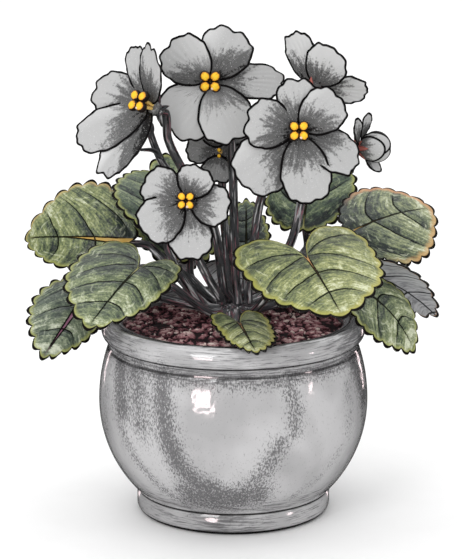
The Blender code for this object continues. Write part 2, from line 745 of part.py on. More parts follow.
def build_bud_branch(group: bpy.types.Collection) -> bpy.types.Object:
    """The thinner stem that leaves the far right stalk and meets the bud's calyx."""
    facing = Vector(BUD_FACING).normalized()
    end = Vector(BUD_BASE) - facing * (CALYX_DEPTH + GAP)
    lead = end - facing * BUD_LEAD
    return tube("bud_branch", smooth_route([*BUD_BRANCH, lead, end], 2), BRANCH_RADII, STEM, group)


def build_young_bud(group: bpy.types.Collection) -> list:
    """The left stalk's second branch, with its closed bud and the bract below it."""
    bm = bmesh.new()
    bmesh.ops.create_uvsphere(bm, u_segments=8, v_segments=6, radius=YOUNG_BUD_RADIUS)
    bmesh.ops.scale(bm, vec=(1, 1, 1.5), verts=bm.verts)
    bmesh.ops.translate(bm, vec=YOUNG_BUD_BRANCH[-1], verts=bm.verts)
    mesh = bpy.data.meshes.new("young_bud")
    bm.to_mesh(mesh)
    bm.free()
    branch = tube("young_bud_branch", smooth_route(YOUNG_BUD_BRANCH, 2), BRANCH_RADII, STEM, group)
    bract = tube("bract", smooth_route(BRACT, 2), BRACT_RADII, STEM, group)
    return [branch, bract, place("young_bud", mesh, STEM, group)]


def build_anthers(bloom: Bloom, group: bpy.types.Collection) -> bpy.types.Object:
    """The yellow lobes in the middle of a bloom, on a short column."""
    frame = bloom_frame(bloom.centre, bloom.facing)
    size = bloom.lobe_size
    ends = ((COLUMN_RADII[0], THROAT_FRONT + GAP), (COLUMN_RADII[1], bloom.anther_height + GAP))
    pieces = [cone("column_" + bloom.name, frame, ends, ANTHER, group, segments=6)]
    for number in range(bloom.lobes):
        angle = math.tau * (number + 0.5) / bloom.lobes
        bm = bmesh.new()
        bmesh.ops.create_uvsphere(bm, u_segments=6, v_segments=4, radius=1.0)
        bmesh.ops.scale(bm, vec=(size, size * LOBE_WIDTH, size * LOBE_DEPTH), verts=bm.verts)
        bmesh.ops.rotate(bm, cent=(0, 0, 0), matrix=Matrix.Rotation(angle, 3, "Z"), verts=bm.verts)
        out = Vector((math.cos(angle), math.sin(angle), 0)) * size * LOBE_OUT
        offset = out + Vector((0, 0, bloom.anther_height))
        bmesh.ops.transform(bm, matrix=frame @ Matrix.Translation(offset), verts=bm.verts)
        mesh = bpy.data.meshes.new("lobe")
        bm.to_mesh(mesh)
        bm.free()
        pieces.append(place(f"lobe_{bloom.name}_{number}", mesh, ANTHER, group))
    return fuse("anthers_" + bloom.name, pieces, ANTHER, group)


def bud_wrap_point(petal: Petal, angle: float, reach: float) -> Vector:
    """A point of a petal that wraps the bud's ball, in the bud's frame."""
    from_base = petal.length * (1 + reach * math.cos(angle)) / 2 / BUD_RADIUS
    aside = petal.width / 2 * reach * math.sin(angle) / BUD_RADIUS
    forward = math.cos(aside)
    out = Vector((math.sin(from_base) * forward, math.sin(aside), -math.cos(from_base) * forward))
    radius = BUD_RADIUS - BUD_WRAP_SINK + BUD_WRAP_LAYER * petal.layer
    turn = Matrix.Rotation(math.radians(petal.angle), 3, "Z")
    return turn @ (out * radius) + Vector((0, 0, BUD_CENTRE_AHEAD))


def build_bud(group: bpy.types.Collection) -> None:
    """The half-open bud with its reddish calyx."""
    frame = bloom_frame(BUD_BASE, BUD_FACING)
    bm = bmesh.new()
    bmesh.ops.create_uvsphere(bm, u_segments=8, v_segments=6, radius=BUD_RADIUS)
    bmesh.ops.transform(bm, matrix=frame @ Matrix.Translation((0, 0, BUD_CENTRE_AHEAD)), verts=bm.verts)
    mesh = bpy.data.meshes.new("bud_ball")
    bm.to_mesh(mesh)
    bm.free()
    pieces = [place("bud_ball", mesh, PETAL, group)]
    pieces.append(cone("bud_throat", frame, BUD_THROAT, PETAL, group, segments=10))
    for number, petal in enumerate(BUD_WRAPS):
        bm = disc((0.55, 1.0), SMALL_PETAL_CORNERS, 0)
        for vert in bm.verts:
            vert.co = frame @ bud_wrap_point(petal, math.atan2(vert.co.y, vert.co.x), vert.co.xy.length)
        pieces.append(thick(bm, f"bud_wrap_{number}", BUD_WRAP_THICKNESS, PETAL, group))
    outer_frame = frame @ Matrix.Translation((0, 0, BUD_OUTER_BASE))
    for number, petal in enumerate(BUD_OUTER):
        pieces.append(build_petal(f"bud_outer_{number}", petal, outer_frame, SMALL_PETAL_CORNERS, group))
    fuse("bud", pieces, PETAL, group)
    fuse("calyx_bud", build_calyx("calyx_bud", frame, 0.0, BUD_SEPALS, RED_CALYX, group), RED_CALYX, group)


def main() -> None:
    """Build the whole plant in its pot."""
    for obj in list(bpy.data.objects):
        bpy.data.objects.remove(obj)
    plant = collection("potted_african_violet")
    build_pot(plant)
    build_soil(plant)
    build_crown(plant)
    for leaf in LEAVES:
        build_blade(leaf, plant)
    for bloom in BLOOMS:
        build_corolla(bloom, plant)
        build_stalk(bloom, plant)
        build_anthers(bloom, plant)
    build_bud(plant)


if __name__ == "__main__":
    main()
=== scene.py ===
"""Potted african violet: the looks of the pot, soil, leaves, stalks and blooms.

Metres, +Z up, the front of the plant faces -Y. Sizes called mm in a name are millimetres.
"""

import json
import logging
import math
import random
from collections.abc import Callable, Iterable, Sequence
from dataclasses import dataclass
from enum import Enum

import bmesh
import bpy
from mathutils import Matrix, Vector, noise

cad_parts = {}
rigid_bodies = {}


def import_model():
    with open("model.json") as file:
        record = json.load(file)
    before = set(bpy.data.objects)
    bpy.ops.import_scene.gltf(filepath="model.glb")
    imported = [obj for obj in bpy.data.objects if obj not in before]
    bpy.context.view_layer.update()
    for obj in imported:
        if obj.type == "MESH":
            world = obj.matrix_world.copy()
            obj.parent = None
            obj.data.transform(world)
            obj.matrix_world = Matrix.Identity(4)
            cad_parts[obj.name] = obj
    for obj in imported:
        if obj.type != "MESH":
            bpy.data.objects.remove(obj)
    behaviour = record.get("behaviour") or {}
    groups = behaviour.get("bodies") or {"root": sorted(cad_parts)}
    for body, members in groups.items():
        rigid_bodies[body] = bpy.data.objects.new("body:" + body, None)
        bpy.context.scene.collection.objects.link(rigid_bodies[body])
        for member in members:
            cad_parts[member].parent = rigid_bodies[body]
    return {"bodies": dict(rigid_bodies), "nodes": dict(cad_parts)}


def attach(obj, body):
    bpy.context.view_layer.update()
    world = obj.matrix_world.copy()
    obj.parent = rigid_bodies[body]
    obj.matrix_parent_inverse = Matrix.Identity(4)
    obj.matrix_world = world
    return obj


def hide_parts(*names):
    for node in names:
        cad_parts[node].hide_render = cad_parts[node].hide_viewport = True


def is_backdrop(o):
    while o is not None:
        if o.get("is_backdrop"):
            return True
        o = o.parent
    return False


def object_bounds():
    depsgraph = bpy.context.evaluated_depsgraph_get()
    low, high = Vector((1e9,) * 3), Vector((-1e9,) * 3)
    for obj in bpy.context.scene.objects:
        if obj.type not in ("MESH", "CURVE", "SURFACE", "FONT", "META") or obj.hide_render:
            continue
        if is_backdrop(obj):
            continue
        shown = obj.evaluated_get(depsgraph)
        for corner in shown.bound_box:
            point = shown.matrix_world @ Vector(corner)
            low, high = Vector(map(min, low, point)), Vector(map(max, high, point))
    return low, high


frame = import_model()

log = logging.getLogger("african_violet")

Point = tuple[float, float, float]
Socket = bpy.types.NodeSocket
Feed = Socket | float | str | Point
Feeds = dict[str | int, Feed] | Sequence[Feed]
Placing = Callable[[float, float], Vector]

MM = 0.001
# Clearance between neighbouring pieces
GAP = 0.3 * MM
CROWN_TOP = 0.0885
CALYX_DEPTH = 0.0034
SMOOTH = "SMOOTHSTEP"


def linear(hex_colour: str) -> tuple[float, float, float, float]:
    """Turn an sRGB hex colour into a linear one.

    Args:
        hex_colour: Six hex digits after a hash sign.

    Returns:
        Linear red, green, blue and an alpha of 1.
    """
    parts = [int(hex_colour[start : start + 2], 16) / 255 for start in (1, 3, 5)]
    red, green, blue = (
        part / 12.92 if part <= 0.04045 else ((part + 0.055) / 1.055) ** 2.4 for part in parts
    )
    return red, green, blue, 1.0


class Paint:
    """A material or world in the making: its shader and the nodes that feed it."""

    def __init__(self, owner: bpy.types.Material | bpy.types.World, shader: str = "Principled BSDF") -> None:
        """Start on a material or world.

        Args:
            owner: The material or world.
            shader: The name of its shader's node.
        """
        self.owner = owner
        self.owner.use_nodes = True
        self.tree = self.owner.node_tree
        self.shader = self.tree.nodes[shader]

    @classmethod
    def material(cls, name: str) -> "Paint":
        """Start a new material."""
        return cls(bpy.data.materials.new(name))

    def feed(self, node: bpy.types.Node, inputs: Feeds) -> None:
        """Link each socket and set each plain value or hex colour on a node's inputs.

        Args:
            node: The node that they go to.
            inputs: What each input gets, by its name or number, or in order from the first.
        """
        pairs = inputs.items() if isinstance(inputs, dict) else enumerate(inputs)
        for name, value in pairs:
            if isinstance(value, Socket):
                self.tree.links.new(value, node.inputs[name])
            else:
                node.inputs[name].default_value = linear(value) if isinstance(value, str) else value

    def add(self, kind: str, inputs: Feeds = (), **settings: object) -> bpy.types.NodeOutputs:
        """Add a node with its settings and links.

        Args:
            kind: The node's type name, without ShaderNode.
            inputs: What each input gets.
            **settings: The node's own properties. Stops are a ramp's (place, hex colour) pairs.

        Returns:
            The node's outputs.
        """
        node = self.tree.nodes.new("ShaderNode" + kind)
        for name, value in settings.items():
            if name == "stops":
                ramp = node.color_ramp.elements
                while len(ramp) < len(value):
                    ramp.new(1.0)
                for stop, (place, colour) in zip(ramp, value):
                    stop.position = place
                    stop.color = linear(colour)
            else:
                setattr(node, name, value)
        self.feed(node, inputs)
        return node.outputs

    def mottle(self, value: Feed, patterns: Iterable[tuple[Socket, float]]) -> Feed:
        """Vary a value by patterns, each of which adds as much as it takes away.

        Args:
            value: The value.
            patterns: Each pattern, from 0 to 1, and its strength.

        Returns:
            The varied value.
        """
        for pattern, strength in patterns:
            share = self.add("Math", (pattern, strength, -0.5 * strength), operation="MULTIPLY_ADD")[0]
            value = self.add("Math", (value, share), operation="ADD")[0]
        return value

    def done(self, inputs: Feeds) -> bpy.types.Material | bpy.types.World:
        """Feed the shader and give the material or world."""
        self.feed(self.shader, inputs)
        return self.owner


@dataclass(frozen=True)
class DippedStoneware:
    """Thrown stoneware, dipped in grey glaze.

    The glassy coat gives the eye small sharp highlights from the lamps. Its dark mottled sweep marks are
    painted shade and painted reflections. Level dark strokes mark the rim and foot, and painted shade bands
    darken the neck under the rim and the low belly.
    """

    pale: str = "#cfcecf"
    grey: str = "#b7b6b7"
    # Painted shade and painted reflections: the dark of the mottled sweep marks
    sweep: str = "#545355"
    # Painted shade: the dark lines along the grooves under the rim and above the foot, and a line on the neck
    groove: str = "#151314"
    ink: str = "#141214"
    # Real specks are nearer 0.2 mm, half a pixel here, so they are drawn coarser
    grain_mm: float = 0.6
    cloud_mm: float = 24.0
    # Size of the level strokes of the rim and foot and of the painted shade bands
    stroke_size_mm: tuple[float, float] = (9.0, 0.55)
    ripple_mm: float = 7.0
    ripple_depth_mm: float = 0.28
    grooves_mm: tuple[tuple[float, float], ...] = ((9.1, 1.0), (70.4, 0.65), (74.1, 1.0))
    groove_width_mm: float = 0.75
    hem_mm: tuple[float, float] = (1.4, 1.9)

    def material(self) -> bpy.types.Material:
        """Make the glaze: its painted shade and reflection sweep marks break up into grains, and its painted
        shade bands into level strokes.

        Returns:
            The material.
        """
        paint = Paint.material("mottled_grey_glaze")
        place = paint.add("TexCoord")["Object"]
        height = paint.add("SeparateXYZ", [place])["Z"]
        marks = paint.add("Attribute", attribute_name="glaze")["Vector"]
        sweep, strokes_and_shade, mouth = paint.add("SeparateXYZ", [marks])
        run = paint.add("Mapping", {"Vector": place, "Scale": (1.0, 1.0, 0.5)})[0]
        wide, fine = self.stroke_size_mm
        level = paint.add("Mapping", {"Vector": place, "Scale": (1 / wide, 1 / wide, 1 / fine)})[0]
        grains, clouds, strokes, ripples = (
            paint.add("TexNoise", {"Vector": at, "Scale": 1 / size, "Detail": detail, "Roughness": rough})[0]
            for at, size, detail, rough in (
                (run, self.grain_mm * MM, 3.0, 0.65),
                (place, self.cloud_mm * MM, 2.0, 0.5),
                (level, MM, 3.0, 0.7),
                (place, self.ripple_mm * MM, 2.0, 0.5),
            )
        )
        coats = []
        # Painted shade and painted reflections: the mottled sweep marks, then the level strokes with their
        # shade bands
        for marked, pattern, strength, low, high in (
            (sweep, grains, 2.1, 0.20, 0.66),
            (strokes_and_shade, strokes, 1.6, 0.35, 0.75),
        ):
            broken = paint.mottle(marked, [(pattern, strength)])
            dark = paint.add("MapRange", (broken, low, high, 0.0, 0.8), interpolation_type=SMOOTH)[0]
            coats.append((dark, self.sweep))
        # Painted shade: dark lines at the groove heights
        for groove, strength in self.grooves_mm:
            away = paint.add("Math", (height, groove * MM), operation="SUBTRACT")[0]
            away = paint.add("Math", [away], operation="ABSOLUTE")[0]
            width = self.groove_width_mm * MM
            line = paint.add("MapRange", (away, 0.4 * width, width, strength, 0.0))[0]
            coats.append((line, self.groove))
        low, high = self.hem_mm
        hem = paint.add("MapRange", (height, low * MM, high * MM, 1.0, 0.0))[0]
        coats += [(hem, self.ink), (mouth, self.ink)]
        colour = paint.add("ValToRGB", [clouds], stops=((0.38, self.grey), (0.62, self.pale)))[0]
        for share, coat in coats:
            colour = paint.add("Mix", {0: share, 6: colour, 7: coat}, data_type="RGBA")[2]
        depth = self.ripple_depth_mm * MM
        bump = paint.add("Bump", {"Height": ripples, "Distance": depth, "Strength": 0.9})[0]
        return paint.done(
            {
                "Base Color": colour, "Normal": bump, "Roughness": 0.15, "IOR": 1.52,
                "Coat Weight": 1.0, "Coat Roughness": 0.08, "Coat IOR": 1.6, "Coat Normal": bump,
            }
        )


@dataclass(frozen=True)
class LoosePeat:
    """Damp peat and bark mix, tipped in loose: matt clods with painted light on top and painted shade in the
    crevices, and paler bits of bark.
    """

    # The dark end also paints the shade in the crevices
    dark: str = "#1c0c10"
    brown: str = "#6a3c43"
    warm: str = "#a9787c"
    fleck: str = "#ead7cf"
    grain_mm: float = 1.2

    def material(self) -> bpy.types.Material:
        """Make the potting mix. A crumb's own tone comes from its attribute, which on the bed holds painted
        light and shade.

        Returns:
            The material.
        """
        paint = Paint.material("peat_potting_mix")
        place = paint.add("TexCoord")["Object"]
        grain = {"Vector": place, "Scale": 1 / (self.grain_mm * MM), "Detail": 4.0, "Roughness": 0.7}
        grains = paint.add("TexNoise", grain)[0]
        tone = paint.add("Attribute", attribute_name="tone")["Fac"]
        mixed = paint.mottle(tone, [(grains, 1.2)])
        stops = ((0.12, self.dark), (0.34, self.brown), (0.60, self.warm), (0.92, self.fleck))
        colour = paint.add("ValToRGB", [mixed], stops=stops)[0]
        bump = paint.add("Bump", {"Height": grains, "Distance": 0.4 * MM})[0]
        return paint.done(
            {"Base Color": colour, "Normal": bump, "Roughness": 0.85, "Specular IOR Level": 0.3}
        )


def leaf_gaps(paint: Paint) -> tuple[Socket, ...]:
    """Work out how far a place on a leaf is from its veins and edge, in the leaf's own millimetres.

    A side vein lies where the order is whole.

    Args:
        paint: The leaf's material.

    Returns:
        The order, the ways to the edge, midrib and nearest side vein, and the shorter of the last two.
    """
    across = paint.add("SeparateXYZ", [paint.add("Attribute", attribute_name="flat")["Vector"]])["Y"]
    ribs = paint.add("Attribute", attribute_name="ribs")["Vector"]
    order, pitch, edge = paint.add("SeparateXYZ", [ribs])
    aside = paint.add("Math", [across], operation="ABSOLUTE")[0]
    side_vein = paint.add("Math", (order, 0.5), operation="PINGPONG")[0]
    side_vein = paint.add("Math", (side_vein, pitch), operation="MULTIPLY")[0]
    nearest = paint.add("Math", (side_vein, aside), operation="MINIMUM")[0]
    return order, edge, aside, side_vein, nearest


@dataclass(frozen=True)
class QuiltedLeaf:
    """Upper skin of a grown leaf, quilted and downy.

    Painted light and shade model the puffs between its sunken dark veins, and its scalloped margin is paler.
    """

    name: str
    deep: str = "#242e2a"
    green: str = "#5e6b50"
    light: str = "#8b956c"
    pale: str = "#d7dcc0"
    margins: tuple[str, str] = ("#adb05c", "#adb05c")
    rib: str = "#a09d62"
    vein: str = "#0d0e0a"
    ink: str = "#100c0b"
    margin_mm: float = 2.6
    margin_fade_mm: float = 2.4
    band_start_mm: float = -40.0
    rib_mm: float = 0.40
    rib_reach_mm: float = 30.0
    vein_mm: float = 0.30
    # The real net of small veins is nearer 1 mm, and is drawn coarser to show
    net_mm: float = 2.4
    cloud_mm: float = 4.5
    dab_mm: float = 1.0
    mottling: tuple[float, float, float] = (0.60, 0.68, 1.05)

    def material(self) -> bpy.types.Material:
        """Make the leaf's face from its own flat coordinates, in millimetres.

        Painted shade makes the tissue darkest just ahead of a vein and in the valleys beside the veins,
        paling towards the next one, and short painted highlight strokes run along the margin.

        Returns:
            The material.
        """
        paint = Paint.material(self.name)
        flat, around = (paint.add("Attribute", attribute_name=name)["Vector"] for name in ("flat", "around"))
        x, y, seed = paint.add("SeparateXYZ", [flat])
        order, edge, aside, side_vein, nearest = leaf_gaps(paint)
        rib = paint.add("MapRange", (x, 0.0, self.rib_reach_mm, self.rib_mm, 0.0))[0]
        beside = paint.add("Math", (aside, rib), operation="SUBTRACT")[0]
        midrib = paint.add("Math", [beside], operation="ABSOLUTE")[0]
        drawn = paint.add("CombineXYZ", (order, aside, seed))[0]
        drawn = paint.add("Mapping", {"Vector": drawn, "Scale": (10.0, 0.16, 1.0)})[0]
        stroke = paint.add("Mapping", {"Vector": around, "Scale": (0.75, 0.13, 1.0)})[0]
        clouds, dabs, hatch, painted_gleam = (
            paint.add("TexNoise", {"Vector": at, "Scale": 1 / size, "Detail": detail, "Roughness": rough})[0]
            for at, size, detail, rough in (
                (flat, self.cloud_mm, 3.0, 0.5),
                (flat, self.dab_mm, 3.0, 0.7),
                (drawn, 1.0, 3.0, 0.65),
                (stroke, 1.0, 2.0, 0.6),
            )
        )
        net = {"Vector": flat, "Scale": 1 / self.net_mm}
        nets = paint.add("TexVoronoi", net, feature="DISTANCE_TO_EDGE")[0]
        tone = paint.add("Attribute", attribute_name="tone")["Fac"]
        # Painted shade: darkest just ahead of a vein and in the valleys beside the veins
        after = paint.add("Math", [order], operation="FRACT")[0]
        for part in ((after, 0.0, 0.8, -0.15, 0.06), (nearest, 0.1, 1.6, -0.06, 0.02)):
            shift = paint.add("MapRange", part, interpolation_type=SMOOTH)[0]
            tone = paint.add("Math", (tone, shift), operation="ADD")[0]
        tone = paint.mottle(tone, zip((clouds, dabs, hatch), self.mottling))
        stops = ((0.22, self.deep), (0.44, self.green), (0.62, self.light), (0.84, self.pale))
        colour = paint.add("ValToRGB", [tone], stops=stops)[0]
        net = paint.add("MapRange", (nets, 0.0, 0.09, 0.20, 0.0))[0]
        uneven = paint.add("Math", (dabs, 3.4, edge), operation="MULTIPLY_ADD")[0]
        band = (uneven, self.margin_mm, self.margin_mm + self.margin_fade_mm, 0.75, 0.0)
        band = paint.add("MapRange", band, interpolation_type=SMOOTH)[0]
        along = paint.add("MapRange", (x, self.band_start_mm, self.band_start_mm + 12.0))[0]
        band = paint.add("Math", (band, along), operation="MULTIPLY")[0]
        side = paint.add("MapRange", (y, -6.0, 6.0))[0]
        margin = paint.add("Mix", {0: side, 6: self.margins[0], 7: self.margins[1]}, data_type="RGBA")[2]
        # Painted highlight: short pale strokes near the margin
        painted_gleam = paint.add("MapRange", (painted_gleam, 0.57, 0.68, 0.0, 0.55))[0]
        for part in ((edge, 1.6, 3.0), (edge, 7.0, 12.0, 1.0, 0.35)):
            painted_gleam = paint.add("Math", (painted_gleam, paint.add("MapRange", part)[0]), operation="MULTIPLY")[0]
        strip = paint.add("MapRange", (beside, -0.1, 0.1, 0.9, 0.0))[0]
        line = paint.add("Math", (side_vein, midrib), operation="MINIMUM")[0]
        line = paint.add("Math", (dabs, 0.36, line), operation="MULTIPLY_ADD")[0]
        line = (line, self.vein_mm + 0.16, self.vein_mm + 0.30, 0.96, 0.0)
        line = paint.add("MapRange", line, interpolation_type=SMOOTH)[0]
        calm = paint.add("MapRange", (edge, 3.0, 8.0))[0]
        line = paint.add("Math", (line, calm), operation="MULTIPLY")[0]
        rim = paint.add("MapRange", (edge, 1.0, 1.35, 1.0, 0.0))[0]
        coats = (
            (net, self.deep), (band, margin), (painted_gleam, self.pale),
            (strip, self.rib), (line, self.vein), (rim, self.ink),
        )
        for share, coat in coats:
            colour = paint.add("Mix", {0: share, 6: colour, 7: coat}, data_type="RGBA")[2]
        inked = paint.add("Math", (line, rim), operation="MAXIMUM")[0]
        shine = paint.add("MapRange", {0: inked, 3: 0.4, 4: 0.03})[0]
        rounded = paint.add("Math", (nets, 0.5), operation="POWER")[0]
        bump = paint.add("Bump", {"Height": rounded, "Distance": 0.3 * MM, "Strength": 0.6})[0]
        return paint.done(
            {"Base Color": colour, "Normal": bump, "Roughness": 0.38, "Specular IOR Level": shine}
        )


@dataclass(frozen=True)
class LeafUnderside:
    """Lower skin of a grown leaf: greyer and duller than the face, with raised darker veins."""

    face: str = "#c0c1c2"
    shade: str = "#8a8b8d"
    vein: str = "#2b2c2e"
    margin: str = "#c9996a"
    ink: str = "#15110f"

    def material(self) -> bpy.types.Material:
        """Make the underside from the leaf's own flat coordinates, in millimetres.

        Returns:
            The material.
        """
        paint = Paint.material("leaf_underside")
        order, edge, aside, _, nearest = leaf_gaps(paint)
        drawn = paint.add("CombineXYZ", (order, aside))[0]
        drawn = paint.add("Mapping", {"Vector": drawn, "Scale": (9.0, 0.15, 1.0)})[0]
        grains = paint.add("TexNoise", {"Vector": drawn, "Scale": 1.0, "Detail": 3.0, "Roughness": 0.7})[0]
        uneven = paint.add("Math", (grains, 2.0, edge), operation="MULTIPLY_ADD")[0]
        colour = paint.add("ValToRGB", [grains], stops=((0.38, self.shade), (0.56, self.face)))[0]
        coats = (
            ((nearest, 0.30, 0.45, 1.0, 0.0), self.vein),
            ((uneven, 1.9, 2.5, 0.9, 0.0), self.margin),
            ((edge, 0.9, 1.2, 1.0, 0.0), self.ink),
        )
        for reach, coat in coats:
            share = paint.add("MapRange", reach)[0]
            colour = paint.add("Mix", {0: share, 6: colour, 7: coat}, data_type="RGBA")[2]
        return paint.done({"Base Color": colour, "Roughness": 0.65})


@dataclass(frozen=True)
class VelvetPetal:
    """Skin of a grown petal, made of tiny domed cells.

    They give the eye a soft matt face, dark in the throat and streaked outwards, with a thin dark rim.
    Painted highlight dots and each petal's painted light and shade lie over it.
    """

    name: str
    pale: str = "#bababa"
    grey: str = "#8f8f8f"
    dark: str = "#606060"
    # Painted highlight and painted light: the pale dots, and the lightening of petals with a bias below zero
    painted_gleam: str = "#e2e2e2"
    ink: str = "#0f0d0e"
    reach: tuple[float, float] = (0.10, 0.80)
    # The real cells are under 0.1 mm, so their grain and the painted highlight dots are drawn coarser to show
    grain_mm: float = 0.9
    painted_gleam_mm: float = 0.45

    def material(self) -> bpy.types.Material:
        """Make the petal. Its streaks and grains break up the change from dark to pale.

        Returns:
            The material.
        """
        paint = Paint.material(self.name)
        flat, reach = (paint.add("Attribute", attribute_name=name)["Vector"] for name in ("flat", "reach"))
        edge, outward, bias = paint.add("SeparateXYZ", [reach])
        place = paint.add("TexCoord")["Object"]
        drawn = paint.add("Mapping", {"Vector": flat, "Scale": (5.0, 1.6, 1.0)})[0]
        streaks, lines, grains, fine = (
            paint.add("TexNoise", {"Vector": at, "Scale": 1 / size, "Detail": detail, "Roughness": rough})[0]
            for at, size, detail, rough in (
                (flat, 1.0, 3.0, 0.6),
                (drawn, 1.0, 1.0, 0.5),
                (place, self.grain_mm * MM, 3.0, 0.75),
                (place, self.painted_gleam_mm * MM, 1.0, 0.5),
            )
        )
        near, far = self.reach
        depth = paint.add("MapRange", (outward, near, far, 0.85, 0.0))[0]
        # The bias adds painted shade where a petal lies under another or is folded back
        depth = paint.add("Math", (depth, bias), operation="ADD")[0]
        depth = paint.mottle(depth, ((streaks, 1.0), (grains, 0.9)))
        stops = ((0.36, self.pale), (0.44, self.grey), (0.60, self.dark), (0.94, self.dark), (1.0, self.ink))
        colour = paint.add("ValToRGB", [depth], stops=stops)[0]
        # Painted light on petals whose bias is below zero, and painted highlight dots
        lit, lines, inner, specks, rim = (
            paint.add("MapRange", values)[0]
            for values in (
                (bias, 0.0, -0.3, 0.0, 0.8),
                (lines, 0.62, 0.68, 0.0, 0.85),
                (outward, 0.22, 0.55, 1.0, 0.0),
                (fine, 0.66, 0.72, 0.0, 0.55),
                (edge, 0.75, 1.1, 1.0, 0.0),
            )
        )
        lines = paint.add("Math", (lines, inner), operation="MULTIPLY")[0]
        for share, coat in ((lit, self.painted_gleam), (lines, self.ink), (specks, self.painted_gleam), (rim, self.ink)):
            colour = paint.add("Mix", {0: share, 6: colour, 7: coat}, data_type="RGBA")[2]
        bump = paint.add("Bump", {"Height": streaks, "Distance": 0.12 * MM, "Strength": 0.5})[0]
        shine = paint.add("MapRange", {0: rim, 3: 0.3, 4: 0.03})[0]
        return paint.done(
            {"Base Color": colour, "Normal": bump, "Roughness": 0.6, "Specular IOR Level": shine}
        )


@dataclass(frozen=True)
class FleshyStalk:
    """Juicy grown stalk: a tight skin with painted pale highlight streaks, dark streaks along it and a pink
    flush.
    """

    name: str
    dark: str = "#0e0f10"
    body: str = "#454649"
    # Painted highlight: the pale streaks
    painted_gleam: str = "#d2d2d3"
    flush: str = "#9a5f6b"

    def material(self) -> bpy.types.Material:
        """Make the stalk's skin from its own round and lengthwise coordinates, in millimetres.

        Returns:
            The material.
        """
        paint = Paint.material(self.name)
        flat = paint.add("Attribute", attribute_name="flat")["Vector"]
        drawn = paint.add("Mapping", {"Vector": flat, "Scale": (1.0, 1.0, 0.08)})[0]
        streaks = paint.add("TexNoise", {"Vector": drawn, "Scale": 1.0, "Detail": 3.0, "Roughness": 0.6})[0]
        stops = ((0.40, self.dark), (0.46, self.body), (0.57, self.body), (0.65, self.painted_gleam))
        colour = paint.add("ValToRGB", [streaks], stops=stops)[0]
        others = paint.add("TexNoise", {"Vector": drawn, "Scale": 1.7, "Detail": 2.0})[0]
        pink = paint.add("MapRange", (others, 0.60, 0.66, 0.0, 0.75))[0]
        colour = paint.add("Mix", {0: pink, 6: colour, 7: self.flush}, data_type="RGBA")[2]
        bump = paint.add("Bump", {"Height": streaks, "Distance": 0.15 * MM, "Strength": 0.5})[0]
        return paint.done({"Base Color": colour, "Normal": bump, "Roughness": 0.42})


@dataclass(frozen=True)
class WaxySkin:
    """Skin of the small flower parts: smooth and waxy, with a warm top that darkens in painted shade to the
    foot.
    """

    name: str
    top: str
    side: str
    foot: str
    rise: tuple[float, float, float] = (0.70, 0.77, 0.88)
    roughness: float = 0.5
    grain_mm: float = 0.5

    def material(self) -> bpy.types.Material:
        """Make the finish from the piece's own rise, 0 at its foot and 1 at its top.

        Returns:
            The material.
        """
        paint = Paint.material(self.name)
        rise = paint.add("Attribute", attribute_name="tone")["Fac"]
        place = paint.add("TexCoord")["Object"]
        grains = paint.add("TexNoise", {"Vector": place, "Scale": 1 / (self.grain_mm * MM), "Detail": 2.0})[0]
        mixed = paint.mottle(rise, [(grains, 0.16)])
        stops = tuple(zip(self.rise, (self.foot, self.side, self.top)))
        colour = paint.add("ValToRGB", [mixed], stops=stops)[0]
        return paint.done({"Base Color": colour, "Roughness": self.roughness})


@dataclass(frozen=True)
class PaperSweep:
    """Rolled white paper that the pot stands on: matt, so that it shows no reflection."""

    fibre: str = "#fbfbfb"
    colour: str = "#ffffff"
    cloud_mm: float = 25.0

    def material(self) -> bpy.types.Material:
        """Make the paper, with a faint unevenness.

        Returns:
            The material.
        """
        paint = Paint.material("white_paper")
        place = paint.add("TexCoord")["Object"]
        fibres = paint.add("TexNoise", {"Vector": place, "Scale": 1 / (self.cloud_mm * MM), "Detail": 2.0})[0]
        colour = paint.add("ValToRGB", [fibres], stops=((0.0, self.fibre), (0.6, self.colour)))[0]
        return paint.done({"Base Color": colour, "Roughness": 0.9, "Specular IOR Level": 0.1})


